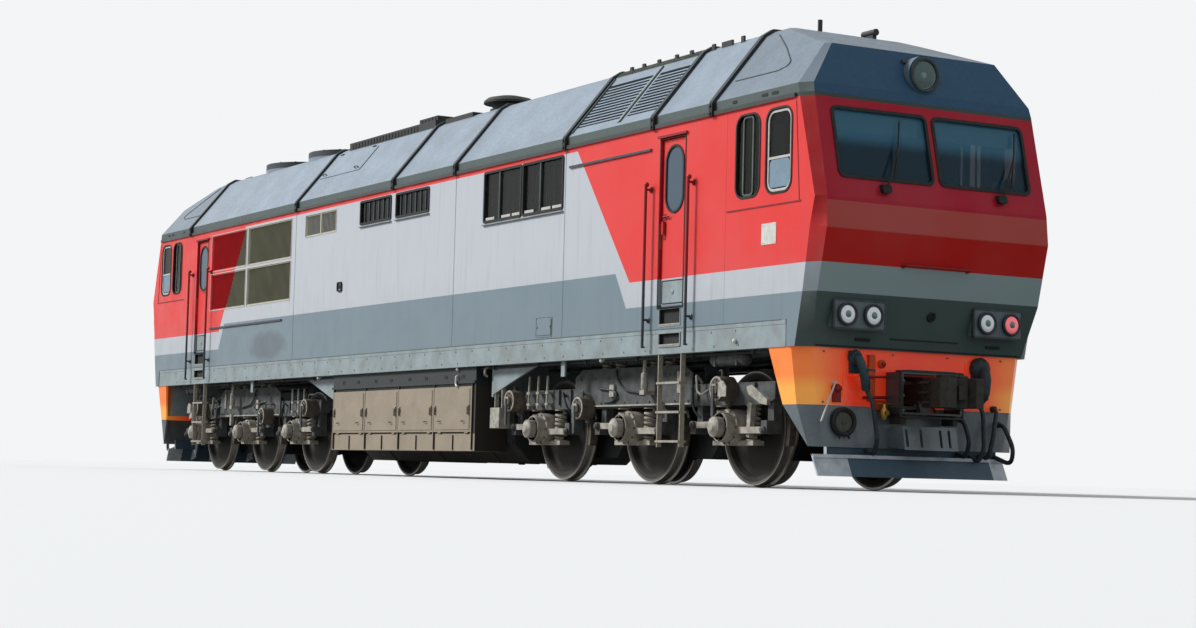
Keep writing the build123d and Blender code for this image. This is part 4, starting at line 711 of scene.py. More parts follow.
y0, y1, z0, z1 = *windows["screenY"], *windows["screenZ"]
seal = windows["screenGasket"]
screenRings = bothSides([warped(roundedRing(y0 + 0.008, y1 - 0.008, z0 + 0.008, z1 - 0.008, 0.045, seal, "x",
        -0.025, 0.012), onNose)])
makePiece("windscreen_gaskets", rubber, bothEnds(screenRings))
sunBlinds = bothSides([warped(roundedRing(y0 + 0.1, y1 - 0.1, 3.655, 3.77, 0.01, 0.045, "x", -0.075, -0.068),
        onNose), warped(block(-0.08, -0.075, y0 + 0.05, y1 - 0.05, 3.62, 3.812), onNose)])
makePiece("sun_blinds", "whiteSpotEnamel", bothEnds(sunBlinds))
# wipers: motor box under each pane, arm and blade
wipers = []
for y, z, lean in ((-0.685, 3.02, 0.22), (0.8, 3.03, 0.24)):
    wipers.append(warped(prism(roundedOutline(y - 0.055, y + 0.055, z - 0.045, z + 0.045, 0.02),
            "x", -0.004, 0.06), onNose))
    foot, head = onNose(0.05, y, z), onNose(0.035, y + lean, z + 0.46)
    wipers.append(tube((foot, onNose(0.065, y + 0.02, z + 0.06), head), 0.011, 6))
    wipers.append(tube((onNose(0.022, y + lean - 0.08, z + 0.14), head,
            onNose(0.022, y + lean + 0.07, z + 0.74)), 0.009, 6))
makePiece("wipers", rubber, bothEnds(wipers))

# entrance doors, their seals, the foot holes and the rails beside them
print("doors")
doorways = {"front": (7.245, 7.765), "rear": (-8.0, -7.48)}
doorLook = {"glassZ": (2.987, 3.703), "glassHalf": 0.173, "kickZ": (1.955, 2.235),
    "pocketZ": ((1.725, 1.905), (1.5, 1.635)), "railX": (-0.2, 0.185), "railY": 1.547}
seals, liners, treads, lips, knobs, drips = [], [], [], [], [], []
for end, (x0, x1) in doorways.items():
    middle = (x0 + x1) / 2
    half = doorLook["glassHalf"]
    grip = x0 + 0.062 if end == "front" else x1 - 0.062
    away = 1 if end == "front" else -1
    (g0, g1), (k0, k1) = doorLook["glassZ"], doorLook["kickZ"]
    rim = roundedRing(middle - half, middle + half, g0, g1, half, 0.026, "y", leafY - 0.004, leafY + 0.01)
    glass = prism(roundedOutline(middle - half, middle + half, g0, g1, half), "y",
        leafY - 0.0085, leafY - 0.004)
    kickRim = roundedRing(x0 + 0.045, x1 - 0.045, k0 + 0.02, k1 - 0.02, 0.01, 0.012, "y", leafY, leafY + 0.006)
    kickPlate = block(x0 + 0.045, x1 - 0.045, leafY - 0.001, leafY + 0.003, k0 + 0.02, k1 - 0.02)
    kickLock = lathe(((leafY, 0.03), (leafY + 0.008, 0.03), (leafY + 0.014, 0.018)), "y",
        (middle, (k0 + k1) / 2), 16)
    handle = [block(grip - 0.03, grip + 0.03, leafY - 0.001, leafY + 0.004, 2.68, 2.97),
        tube(((grip, leafY, 2.935), (grip, leafY + 0.026, 2.935), (grip + away * 0.11, leafY + 0.026, 2.93)),
            0.01)]
    for side, flip in (("left", same), ("right", mirrored)):
        body = f"door_{end}_{side}"
        for part, coat, shapes, slot, bevel in (("rim", rubber, (rim, kickRim), "lamp_housing", 0.0),
            ("glass", "doorGlass", (glass,), "window_glass", 0.001),
            ("kick_plate", "soleBarEnamel", (kickPlate, kickLock), "door_paint", 0.0),
            ("handle", "darkRedEnamel", handle, "door_paint", 0.0)):
            makePiece(f"{body}_{part}", coat, [flip(s) for s in shapes], body, bevel=bevel)
    seals.append(roundedRing(x0 - 0.002, x1 + 0.002, 1.923, 3.802, 0.004, 0.016, "y",
            wallY - 0.001, wallY + 0.005))
    drips.append(wallBlock(x0 - 0.045, x1 + 0.045, 3.812, 3.842, 0.02, 0.026))
    for z0, z1 in doorLook["pocketZ"]:
        p0, p1 = x0 + 0.0405, x1 - 0.0405
        liners.append(block(p0, p1, 1.4305, 1.434, z0 + 0.001, z1 - 0.001))
        liners.append(block(p0, p1, 1.434, 1.466, z1 - 0.006, z1 - 0.001))
        liners += [block(p, p + d, 1.434, 1.466, z0 + 0.001, z1 - 0.001)
            for p, d in ((p0, 0.005), (p1, -0.005))]
        treads.append(block(p0, p1, 1.434, 1.482, z0 + 0.001, z0 + 0.018))
        lips.append(roundedRing(p0, p1, z0, z1, 0.004, 0.014, "y", 1.468, 1.48))
    for x in (x0 + doorLook["railX"][0], x1 + doorLook["railX"][1]):
        y = doorLook["railY"]
        for z in (3.26, 1.8):
            knobs.append(lathe(((wallY, 0.034), (wallY + 0.01, 0.034), (wallY + 0.018, 0.02)), "y", (x, z), 16))
        ball = [(3.315 + 0.028 * math.sin(a), 0.028 * math.cos(a))
            for a in (-1.2, -0.8, -0.4, 0, 0.4, 0.8, 1.2, 1.5)]
        knobs.append(lathe(ball, "z", (x, y - 0.012), 16))
        knobs.append(lathe(((1.484, 0.012), (1.488, 0.024), (1.502, 0.024), (1.506, 0.012)), "z", (x, y - 0.01),
                12))
makePiece("door_seals", rubber, bothSides(seals))
makePiece("door_drip_strips", "darkRedEnamel", bothSides(drips), bevel=0.002)
makePiece("foot_hole_liners", rubber, bothSides(liners))
makePiece("foot_hole_treads", "treadPlateSteel", bothSides(treads), bevel=0.002)
makePiece("foot_hole_lips", "soleBarEnamel", bothSides(lips))
makePiece("rail_knobs", "railEnamel", bothSides(knobs))

# radiator louvres: framed panels of upright blades
print("louvres")
radiators = {"panels": ((-7.3, -5.69, 2.61, 3.205), (-7.3, -5.69, 3.255, 3.85), (-5.61, -3.76, 2.61, 3.205),
        (-5.61, -3.76, 3.255, 3.85)), "vent": (-3.2, -2.02, 3.52, 3.84), "pitch": 0.046, "blade": 0.058,
    "thick": 0.005, "lean": 38, "rim": 0.018, "backY": wallY - 0.052}
blades, rims = [], []
ventBlades = []
for x0, x1, z0, z1 in radiators["panels"] + (radiators["vent"],):
    inset = radiators["rim"]
    rims.append(roundedRing(x0 + inset, x1 - inset, z0 + inset, z1 - inset, 0.001, inset - 0.002, "y",
            radiators["backY"], wallY - 0.004))
    count = int((x1 - x0 - 2 * inset) / radiators["pitch"])
    for i in range(count):
        x = x0 + inset + (i + 0.5) * (x1 - x0 - 2 * inset) / count
        wide, thick = radiators["blade"] / 2, radiators["thick"] / 2
        lean = Matrix.Rotation(math.radians(radiators["lean"]), 4, "Z")
        lean = Matrix.Translation((x, wallY - 0.028, 0)) @ lean
        kept = ventBlades if z0 > 3.5 else blades
        kept.append(moved(block(-wide, wide, -thick, thick, z0 + inset, z1 - inset), lean))
x0, x1, z0, z1 = radiators["vent"]
rims.append(block((x0 + x1) / 2 - 0.02, (x0 + x1) / 2 + 0.02, wallY - 0.05, wallY + 0.002, z0, z1))
edges = [wallRing((x0, x1, z0, z1), 0.002, 0.002, 0.012, -0.001, 0.006)
    for x0, x1, z0, z1 in radiators["panels"] + (radiators["vent"],)]
makePiece("radiator_louvres", "louvre", bothSides(blades), replaces=("side_grilles",))
makePiece("vent_blades", "whiteSpotEnamel", bothSides(ventBlades))
makePiece("radiator_rims", "louvre", bothSides(rims))
makePiece("radiator_edges", "paleSashEnamel", bothSides(edges))

# small things on the side walls and sole bars
print("side details")
sideLook = {"plate": (9.31, 9.58, 2.47, 2.69), "socket": (-1.88, -1.72, 2.62, 2.76),
    "hatch": (4.35, 4.78, 1.7, 1.96), "grooveZ": 2.872, "strips": ((5.13, 7.04, 3.7), (-7.26, -4.05, 2.3)),
    "boltPitch": 0.48, "boltEnd": 9.4, "whiteKnobs": ((5.93, 1.385), (8.85, 1.5), (-2.6, 1.385), (2.12, 1.385))}
x0, x1, z0, z1 = sideLook["plate"]
plates = [wallPanel(x0, x1, z0, z1, 0.012, 0, 0.004)]
plates += bolts([(x, z) for x in (x0 + 0.02, x1 - 0.02) for z in (z0 + 0.02, z1 - 0.02)], "y",
    wallY + 0.003, wallY + 0.007, 0.007)
makePiece("blank_side_plates", "whiteSpotEnamel", bothSides(plates))
x0, x1, z0, z1 = sideLook["socket"]
sockets = [wallRing((x0, x1, z0, z1), 0.02, 0.01, 0.02, 0, 0.022),
    lathe(((wallY, 0.03), (wallY + 0.015, 0.03), (wallY + 0.018, 0.012)), "y",
        ((x0 + x1) / 2, (z0 + z1) / 2), 14)]
makePiece("wall_sockets", rubber, bothSides(sockets))
x0, x1, z0, z1 = sideLook["hatch"]
hatch = [wallRing((x0, x1, z0, z1), 0.016, 0.01, 0.01, 0, 0.005),
    wallPanel(x0 + 0.03, x1 - 0.03, z0 + 0.03, z1 - 0.03, 0.02, -0.001, 0.008),
    *bolts([(x, (z0 + z1) / 2) for x in (x0 + 0.05, x1 - 0.05)], "y", wallY + 0.006, wallY + 0.014, 0.016)]
makePiece("wall_hatches", "bodyEnamel", bothSides(hatch), bevel=0.002)
grooves = [wallBlock(8.63, 10.02, sideLook["grooveZ"] - 0.008, sideLook["grooveZ"] + 0.008, -0.001, 0.006),
    tube(((9.99, wallY, sideLook["grooveZ"]), (9.905, wallY, 3.9)), 0.006, 6)]
makePiece("cab_mouldings", "darkRedEnamel", bothEnds(bothSides(grooves)))
strips = [wallBlock(x0, x1, z - 0.002, z + 0.027, 0.016, 0.022) for x0, x1, z in sideLook["strips"]]
makePiece("rain_strip_faces", "darkRailEnamel", bothSides(strips), bevel=0.002)
heads = []
for i in range(1, int(2 * sideLook["boltEnd"] / sideLook["boltPitch"])):
    x = i * sideLook["boltPitch"] - sideLook["boltEnd"]
    if not any(a - 0.12 < x < b + 0.12 for a, b in doorways.values()):
        heads += bolts([(x, 1.61), (x + 0.06, 1.46)], "y", wallY - 0.008, wallY + 0.002, 0.01)
makePiece("sole_bar_bolts", "soleBarEnamel", bothSides(heads))
whites = []
for x, z in sideLook["whiteKnobs"]:
    y = wallY - 0.008 if z > 1.41 else wallY - 0.06
    whites += [lathe(((y, 0.02), (y + 0.03, 0.024), (y + 0.04, 0.012)), "y", (x, z), 12),
        block(x - 0.012, x + 0.012, y - 0.02, y + 0.01, z, 1.425 if z < 1.41 else z + 0.02)]
whites.append(pipe(((2.12, 1.405, 1.3), (2.12, 1.452, 1.3), (2.12, 1.456, 1.19), (2.17, 1.46, 1.16)), 0.014,
        0.02))
makePiece("white_taps", "whiteSpotEnamel", bothSides(whites))
# wall sheet joints, one at each roof rib
joints = [wallBlock(x - 0.004, x + 0.004, 1.69, 3.93, -0.001, 0.002) for x in (-3.58, 2.0, 5.02)]
joints += [wallBlock(-9.7, 9.7, 1.683, 1.692, -0.001, 0.003)]
makePiece("wall_sheet_joints", "greyLampEnamel", bothSides(joints))
# clamps over the gutter at each rib, and handles and hatches on the roof slopes
clamps, lids, lidEdges, divider = [], [], [], []
for x in roofZ["ribX"]:
    clamps.append(block(x - 0.036, x + 0.036, 1.476, 1.52, 3.93, 4.075))
    clamps += bolts([(x, 3.96), (x, 4.04)], "y", 1.519, 1.532, 0.016)
makePiece("rib_clamps", rubber, bothSides(clamps), bevel=0.004)
roofLids = ((-3.4, -1.9, 0.46, 0.95),)
for x0, x1, t0, t1 in roofLids:
    lids.append(warped(block(x0, x1, t0, t1, -0.002, 0.012), onSlope))
    for x in (x0 + 0.15, x1 - 0.15):
        lidEdges.append(warped(pipe(((x - 0.06, t0 + 0.05, 0.0), (x - 0.06, t0 + 0.05, 0.045),
                (x + 0.06, t0 + 0.05, 0.045), (x + 0.06, t0 + 0.05, 0.0)), 0.008, 0.015, 6), onSlope))
        lidEdges.append(warped(block(x - 0.05, x + 0.05, t1 - 0.012, t1 + 0.012, 0.0, 0.026), onSlope))
makePiece("roof_lids", "roofEnamel", bothSides(lids), bevel=0.004)
makePiece("roof_lid_fittings", "darkGutterEnamel", bothSides(lidEdges))
# intake: a fluted band over the louvres, the divider between them and their frames
intake = {"x": 5.085, "flutes": 56, "pitch": 0.035, "frames": ((5.075, 0.03), (6.215, 0.024), (7.02, 0.018))}
for x in (intake["x"] + i * intake["pitch"] for i in range(intake["flutes"])):
    divider.append(([(x + dx, 0.845 + 0.01 * f - 0.1 * f, 4.862 + 0.068 * f + dz) for f in (0, 1)
            for dx, dz in ((0, 0.0), (0.018, 0.0), (0.014, 0.014), (0.004, 0.014))],
            [(0, 1, 2, 3), (4, 5, 6, 7), (0, 1, 5, 4), (1, 2, 6, 5), (2, 3, 7, 6), (3, 0, 4, 7)]))
makePiece("intake_fluting", "darkStreakedOlive", bothSides(divider))
frames = [warped(block(x, x + w, 0.06, 0.98, -0.01, 0.014), onSlope)
    for x, w in intake["frames"]]
makePiece("intake_frames", "darkGutterEnamel", bothSides(frames))
light = [warped(block(6.165, 6.2, 0.06, 0.98, -0.01, 0.012), onSlope)]
makePiece("intake_light_bars", "soleBarEnamel", bothSides(light))
# cab roof: hatch outline on each slope, small vents along its foot
outline = [onSlope(*p) for p in ((8.46, 0.3, 0.004), (9.3, 0.3, 0.004), (9.42, 0.36, 0.004), (9.4, 0.42, 0.004),
        (9.05, 0.7, 0.004), (8.66, 0.97, 0.004))]
makePiece("cab_roof_hatch_lines", "darkGutterEnamel",
    bothEnds(bothSides([pipe(outline, 0.007, 0.1, 6)])))
vents = [wallPanel(x0, x1, 4.015, 4.048, 0.015, -0.001, 0.004)
    for x0, x1 in ((8.7, 8.79), (9.26, 9.38), (9.45, 9.57))]
makePiece("cab_roof_vents", rubber, bothEnds(bothSides(vents)))

# roof top: fan guards, exhaust and ventilator details
print("roof top")
roofTop = {"fansX": (-6.63, -4.78), "guardRings": (0.22, 0.36, 0.5, 0.63), "exhaust": (1.45, -0.45),
    # rows of slots: how many, x of the first, y, bottom and top
    "slots": ((22, -3.1, 0.8, 4.905, 4.975), (5, -0.7, 0.77, 5.005, 5.045)), "slotPitch": 0.11, "slot": 0.055}
guards, rows, cowl = [], [], []
for x in roofTop["fansX"]:
    for r in roofTop["guardRings"]:
        ring = [(*p, 5.05) for p in circleOutline(x, 0, r, 40)]
        guards.append(tube(ring + ring[:1], 0.007, 6))
    rows += bolts(circleOutline(x, 0, 0.748, 16), "z", 5.052, 5.064, 0.014)
makePiece("fan_guards", "sootBlackEnamel", guards)
rows += bolts(circleOutline(*roofTop["exhaust"], 0.325, 14), "z", 5.068, 5.08, 0.012)
for y in (-0.3, 0.3):
    rows += [block(x, x + 0.06, y - 0.08, y + 0.08, 4.93, 4.965) for x in (-2.9, 2.6, 4.2)]
makePiece("roof_top_bolts", "darkGutterEnamel", rows)
for count, start, y, z0, z1 in roofTop["slots"]:
    for x in (start + i * roofTop["slotPitch"] for i in range(count)):
        cowl.append(block(x, x + roofTop["slot"], y, y + 0.008, z0, z1))
makePiece("ventilator_slots", rubber, bothSides(cowl))
stack = [lathe(profile, "z", roofTop["exhaust"], 28) for profile in (
    ((5.15, 0.0), (5.14, 0.1), (5.118, 0.17), (5.104, 0.24), (5.098, 0.235), (5.13, 0.0)),
    ((4.935, 0.262), (4.965, 0.262), (4.972, 0.236), (4.935, 0.236)))]
makePiece("exhaust_collar", "sootBlackEnamel", stack)

# lamps
print("lamps")
lampLook = {"y": (0.725, 1.045), "z": 1.74, "x": 10.262, "headZ": 4.295}
rims, reflectors, hearts, reds, boxes = [], [], [], [], []
for side in (-1, 1):
    for y in lampLook["y"]:
        cy, cz, x = side * y, lampLook["z"], lampLook["x"]
        rims.append(lathe(((x - 0.022, 0.118), (x + 0.004, 0.118), (x + 0.01, 0.108), (x + 0.006, 0.092),
                (x - 0.022, 0.092)), "x", (cy, cz), 28))
        ring = lathe(((x - 0.006, 0.091), (x + 0.006, 0.08), (x + 0.01, 0.06), (x + 0.008, 0.036),
                (x - 0.006, 0.034)), "x", (cy, cz), 28)
        (reds if cy > 1 else reflectors).append(ring)
        hearts.append(lathe(((x - 0.006, 0.035), (x + 0.009, 0.034), (x + 0.014, 0.018), (x + 0.015, 0.0)), "x",
                (cy, cz), 20))
    lo, hi = sorted((side * 0.575, side * 1.19))
    boxes.append(ringFrame(roundedOutline(lo - 0.02, hi + 0.02, 1.585, 1.895, 0.03),
            roundedOutline(lo, hi, 1.605, 1.875, 0.02), "x", 10.205, 10.24))
makePiece("nose_lamp_rims", "mouldedDeskPlastic", bothEnds(rims))
makePiece("nose_lamp_rings", "whiteLens", bothEnds(reflectors))
makePiece("nose_lamp_red_rings", "redLens", bothEnds(reds))
makePiece("nose_lamp_centres", "greyLens", bothEnds(hearts))
makePiece("nose_lamp_surrounds", "darkGutterEnamel", bothEnds(boxes))
z = lampLook["headZ"]
head = [lathe(((10.06, 0.184), (10.09, 0.184), (10.096, 0.172), (10.09, 0.15), (10.066, 0.148)), "x", (0, z),
        36)]
head += bolts(circleOutline(0, z, 0.166, 8), "x", 10.092, 10.1, 0.008)
head.append(warped(block(-0.004, 0.03, -0.205, -0.15, 4.42, 4.45), onNose))
makePiece("headlamp_rims", "darkGutterEnamel", bothEnds(head))
bowl = [lathe(((10.03, 0.147), (10.07, 0.146), (10.06, 0.12), (10.052, 0.08)), "x", (0, z), 32)]
makePiece("headlamp_bowls", "chrome", bothEnds(bowl))
lens = [lathe(((10.054, 0.146), (10.076, 0.144), (10.088, 0.11), (10.094, 0.06), (10.096, 0.0)), "x", (0, z),
        32)]
makePiece("headlamp_lenses", "headlampGlass", bothEnds(lens))
spot = [lathe(((10.05, 0.05), (10.062, 0.046), (10.07, 0.02), (10.071, 0.0)), "x", (0, z), 20)]
makePiece("headlamp_bulbs", "whiteLens", bothEnds(spot))

# nose: grab rail, socket, slots and mouldings

nose = [pipe((onNose(0.0, -0.41, 2.26), onNose(0.055, -0.41, 2.26), onNose(0.055, 0.41, 2.26),
        onNose(0.0, 0.41, 2.26)), 0.012, 0.02)]
nose += [warped(lathe(((-0.002, 0.026), (0.008, 0.026), (0.012, 0.016)), "x", (y, 2.26), 14), onNose)
    for y in (-0.41, 0.41)]
makePiece("nose_rails", "darkRedEnamel", bothEnds(nose))
low = [warped(lathe(((-0.003, 0.05), (0.02, 0.05), (0.024, 0.038), (0.01, 0.034), (0.01, 0.0)), "x",
        (0.05, 1.77), 20), onNose), warped(block(-0.004, 0.012, -0.83, -0.65, 1.485, 1.515), onNose),
    warped(block(-0.004, 0.012, 0.84, 1.02, 1.485, 1.515), onNose),
    warped(block(-0.004, 0.01, -0.4, 0.46, 1.52, 1.53), onNose),
    warped(block(-0.003, 0.006, -1.3, 1.3, 1.42, 1.432), onNose)]
makePiece("nose_sockets", rubber, bothEnds(low))

# apron fittings: valves and pipes beside the coupler
print("apron")
apronX = 10.01              # the apron's face, from which the shapes below have their x


def onApron(shapes):
    return bothEnds([([(apronX + x, y, z) for x, y, z in points], faces) for points, faces in shapes])


brackets = [pipe(((0, -0.8, 1.335), (0.09, -0.8, 1.33), (0.13, -0.77, 1.22), (0.13, -0.73, 1.08),
        (0.1, -0.7, 1.0)), 0.048, 0.08, 12), lathe(((0.01, 0.075), (0.05, 0.082), (0.09, 0.062)), "x",
        (-0.8, 1.32), 18), tube(((0.12, -0.77, 1.22), (0.17, -0.74, 1.2), (0.2, -0.66, 1.19)), 0.012),
    block(0, 0.05, -0.86, -0.74, 1.16, 1.39)]
makePiece("valve_brackets_right", "tealValveEnamel", onApron(brackets), bevel=0.004)
big = [lathe(((0, 0.12), (0.05, 0.125), (0.09, 0.1), (0.11, 0.05)), "x", (0.8, 1.27), 20),
    pipe(((0.05, 0.8, 1.27), (0.14, 0.8, 1.2), (0.14, 0.78, 1.0), (0.08, 0.74, 0.92)), 0.062, 0.08, 12),
    block(0, 0.04, 0.7, 0.92, 0.95, 1.2)]
makePiece("valve_brackets_left", "blackBrakePipe", onApron(big), bevel=0.004)
bars = [block(0, 0.045, -0.625, -0.545, 0.88, 1.36), block(0, 0.03, -0.52, -0.36, 0.8, 0.9),
    lathe(((0, 0.045), (0.03, 0.045), (0.045, 0.03)), "x", (-0.45, 1.27), 18)]
makePiece("apron_bars", "orangeBarEnamel", onApron(bars), bevel=0.006)
handles = [pipe(((0, -0.63, 1.135), (0.07, -0.63, 1.13), (0.07, -0.41, 1.14), (0, -0.41, 1.14)), 0.013, 0.02),
    pipe(((0, -0.66, 0.92), (0.06, -0.66, 0.92), (0.06, -0.41, 0.93), (0, -0.41, 0.93)), 0.016, 0.02),
    lathe(((0.045, 0.022), (0.065, 0.024), (0.07, 0.012)), "x", (-0.45, 1.27), 12),
    lathe(((0, 0.05), (0.05, 0.044), (0.08, 0.03), (0.1, 0.0)), "x", (-1.01, 1.0), 16),
    block(0, 0.05, -1.05, -0.97, 0.86, 1.0)]
makePiece("apron_handles", "darkRedEnamel", onApron(handles))
valve = [lathe(((0.7, 0.03), (0.74, 0.045), (0.8, 0.045), (0.83, 0.025), (0.86, 0.025)), "z", (0.1, -0.47), 16),
    tube(((0.02, -0.47, 0.77), (0.16, -0.47, 0.77)), 0.026, 10),
    tube(((0.1, -0.56, 0.86), (0.1, -0.38, 0.86)), 0.012, 8)]
makePiece("apron_valves", "brass", onApron(valve))
cover = [lathe(((0, 0.15), (0.045, 0.15), (0.06, 0.13), (0.05, 0.108), (0.01, 0.106)), "x", (-0.92, 0.665), 30),
    *[tube(((0, y, 0.56), (0.05, y, 0.5)), 0.012) for y in (-0.98, -0.86)]]
makePiece("cover_rims", rubber, onApron(cover))
plug = [lathe(((0, 0.106), (0.03, 0.104), (0.04, 0.06), (0.036, 0.03), (0.046, 0.024), (0.048, 0.0)),
        "x", (-0.92, 0.665), 26)]
makePiece("cover_plugs", "darkStreakedOlive", onApron(plug))
lever = [tube(((0.06, -1.05, 1.06), (0.05, -1.21, 0.66)), 0.01),
    tube(((-0.01, -1.05, 1.06), (0.07, -1.05, 1.06)), 0.014)]
makePiece("white_levers", "whiteSpotEnamel", onApron(lever))
# rigid brake pipes: each comes out of a valve and ends in a holder on the plough frame
brakePipes = [((0.09, 0.74, 0.93), (0.17, 0.75, 0.8), (0.2, 0.74, 0.42), (0.16, 0.7, 0.3), (0.02, 0.68, 0.36)),
    ((0, 1.06, 0.7), (0.12, 1.06, 0.69), (0.2, 1.13, 0.45), (0.15, 1.14, 0.28), (-0.02, 1.05, 0.36)),
    ((0, 1.0, 0.86), (0.1, 0.98, 0.84), (0.15, 0.9, 0.56), (0.12, 0.86, 0.34), (-0.02, 0.84, 0.36)),
    ((0, 0.52, 0.74), (0.14, 0.52, 0.72), (0.22, 0.54, 0.5), (0.12, 0.56, 0.34), (-0.02, 0.56, 0.38)),
    ((0.1, -0.7, 1.01), (0.17, -0.66, 0.86), (0.2, -0.62, 0.5), (0.12, -0.6, 0.34), (-0.02, -0.6, 0.38))]
pipes = [pipe(path, 0.024, 0.09, 10) for path in brakePipes]
pipes += [lathe(((t, 0.034), (t + 0.05, 0.034)), "x", (y, z), 12)
    for t, y, z in ((-0.005, 1.06, 0.7), (-0.005, 1.0, 0.86), (-0.005, 0.52, 0.74))]
makePiece("brake_pipes", "blackBrakePipe", onApron(pipes))
# bolts and ribs of the skirt, the slotted plate and the plough
rivets = bolts([(y, z) for y in (-1.16, -0.3, 0.4, 1.1) for z in (1.37, 0.86)], "x",
    apronX - 0.002, apronX + 0.01, 0.012)
rivets += bolts([(y, z) for y in (-0.365, 0.365) for z in (0.8, 0.95, 1.1)], "x", 10.286, 10.298, 0.012)
makePiece("apron_bolts", "greyLampEnamel", bothEnds(rivets))
hood = [roundedRing(-0.383, 0.383, 0.742, 1.188, 0.004, 0.02, "x", 10.262, 10.296),
    block(10.06, 10.28, -0.3, 0.3, 1.19, 1.215), block(10.05, 10.25, 0.3, 0.36, 0.66, 0.76),
    block(10.05, 10.25, -0.36, -0.3, 0.66, 0.76)]
makePiece("guide_box_rims", "tornGuideSteel", bothEnds(hood), bevel=0.004)
blade = [([(x0 + 0.012, y0, 0.335), (x1 + 0.012, y1, 0.335), (x1 + 0.03, y1, 0.3), (x0 + 0.03, y0, 0.3),
        (x0 - 0.03, y0, 0.335), (x1 - 0.03, y1, 0.335)], [(0, 1, 2, 3), (0, 1, 5, 4), (4, 5, 2, 3), (0, 3, 4),
        (1, 2, 5)]) for x0, y0, x1, y1 in ((9.915, -1.21, 10.07, -0.9), (10.07, -0.9, 10.15, 0.0),
        (10.15, 0.0, 10.07, 0.9), (10.07, 0.9, 9.915, 1.21))]
makePiece("plough_top_edges", "scuffedPloughPaint", bothEnds(blade))

# couplers
print("couplers")
couplerZ = 0.98
for end, flip in (("front", same), ("rear", turned)):
    shapes = [block(10.395, 10.56, -0.262, 0.262, couplerZ + d - 0.012, couplerZ + d + 0.012)
        for d in (-0.1, 0.0, 0.1)]
    shapes += bolts([(y, couplerZ + d) for y in (-0.1, 0.1) for d in (-0.1, 0.1)], "x", 10.388, 10.402, 0.02)
    shapes.append(pipe(((10.5, 0.262, couplerZ + 0.05), (10.5, 0.31, couplerZ + 0.05),
            (10.42, 0.32, couplerZ + 0.16), (10.34, 0.3, couplerZ + 0.2)), 0.012, 0.03))
    shapes.append(lathe(((couplerZ + 0.149, 0.055), (couplerZ + 0.17, 0.055), (couplerZ + 0.18, 0.035)), "z",
            (10.66, 0.1), 16))
    makePiece(f"coupler_details_{end}", "castCouplerSteel", [flip(s) for s in shapes],
        f"coupler_{end}", bevel=0.003)

# battery boxes and tank
print("batteries")
battery = {"x": (-2.05, 2.64), "faceY": 1.418, "coverZ": (0.575, 1.16), "pitch": 1.1375, "coverY": 1.4485}
slots = []
for i in range(4):
    middle = battery["x"][0] + 0.07 + (i + 0.5) * battery["pitch"]
    for x in (middle - 0.3, middle + 0.22):
        slots += [block(x + d, x + d + 0.035, battery["faceY"] - 0.001, battery["faceY"] + 0.004, 1.27, 1.315)
            for d in (0, 0.055)]
    slots.append(block(middle - 0.5, middle + 0.5, battery["faceY"], battery["faceY"] + 0.003, 1.168, 1.186))
slots.append(block(0.28, 0.31, battery["faceY"], battery["faceY"] + 0.006, 0.36, 1.19))
makePiece("battery_box_slots", rubber, bothSides(slots))
for side, flip in (("left", same), ("right", mirrored)):
    for i in range(4):
        x0 = battery["x"][0] + 0.07 + i * battery["pitch"] + 0.017
        x1 = x0 + battery["pitch"] - 0.034
        y, (z0, z1) = battery["coverY"], battery["coverZ"]
        name = f"battery_cover_{side}_{i + 1}"
        catches = [lathe(((y - 0.001, 0.03), (y + 0.01, 0.03), (y + 0.018, 0.016)), "y", (x, 0.87), 12)
            for x in (x0 + 0.06, x1 - 0.06)]
        catches += [block(x - 0.012, x + 0.012, y + 0.01, y + 0.022, 0.8, 0.9) for x in (x0 + 0.06, x1 - 0.06)]
        catches += [pipe(((x - 0.03, y, 0.72), (x - 0.03, y + 0.03, 0.71), (x + 0.03, y + 0.03, 0.71),
                (x + 0.03, y, 0.72)), 0.005, 0.01, 6) for x in (x0 + 0.2, x1 - 0.2)]
        makePiece(f"{name}_catches", "dustyBrakeIron", [flip(s) for s in catches], name)
tank = [lathe(((0.935, 0.06), (1.01, 0.06), (1.02, 0.075), (1.045, 0.075)), "y", (2.78, 1.05), 18),
    pipe(((2.75, 0.9, 0.55), (2.88, 0.98, 0.55), (2.88, 0.98, 0.95), (2.75, 0.9, 0.95)), 0.012, 0.02),
    lathe(((0.172, 0.04), (0.205, 0.06)), "z", (2.2, 0.5), 12)]
tank += bolts([(x, 0.46) for x in (-2.1, 2.8)], "y", 0.94, 0.965, 0.03)
makePiece("tank_fittings", "blackTankPaint", bothSides(tank))

# what hangs under the deck beside the bogies
print("under the deck")
under = [pipe(((-9.3, 1.345, 1.385), (9.3, 1.345, 1.385)), 0.015),
    pipe(((-9.3, 0.52, 1.38), (9.3, 0.52, 1.38)), 0.018)]
under += [block(-9.0 + i * 1.2, -8.96 + i * 1.2, 1.318, 1.372, 1.362, 1.415) for i in range(16)]
makePiece("brake_pipe_lines", "greasyFloorSteel", bothSides(under))
reservoirs = []
for x0, x1 in ((8.1, 8.8), (-8.8, -8.1)):
    dish = ((x0, 0.0), (x0 + 0.01, 0.045), (x0 + 0.04, 0.07), (x1 - 0.04, 0.07), (x1 - 0.01, 0.045), (x1, 0.0))
    reservoirs.append(lathe(dish, "x", (1.27, 1.33), 20))
    reservoirs += [block(x, x + 0.03, 1.195, 1.345, 1.255, 1.415) for x in (x0 + 0.12, x1 - 0.15)]
makePiece("air_reservoirs", "grimyCastSteel", bothSides(reservoirs), bevel=0.003)
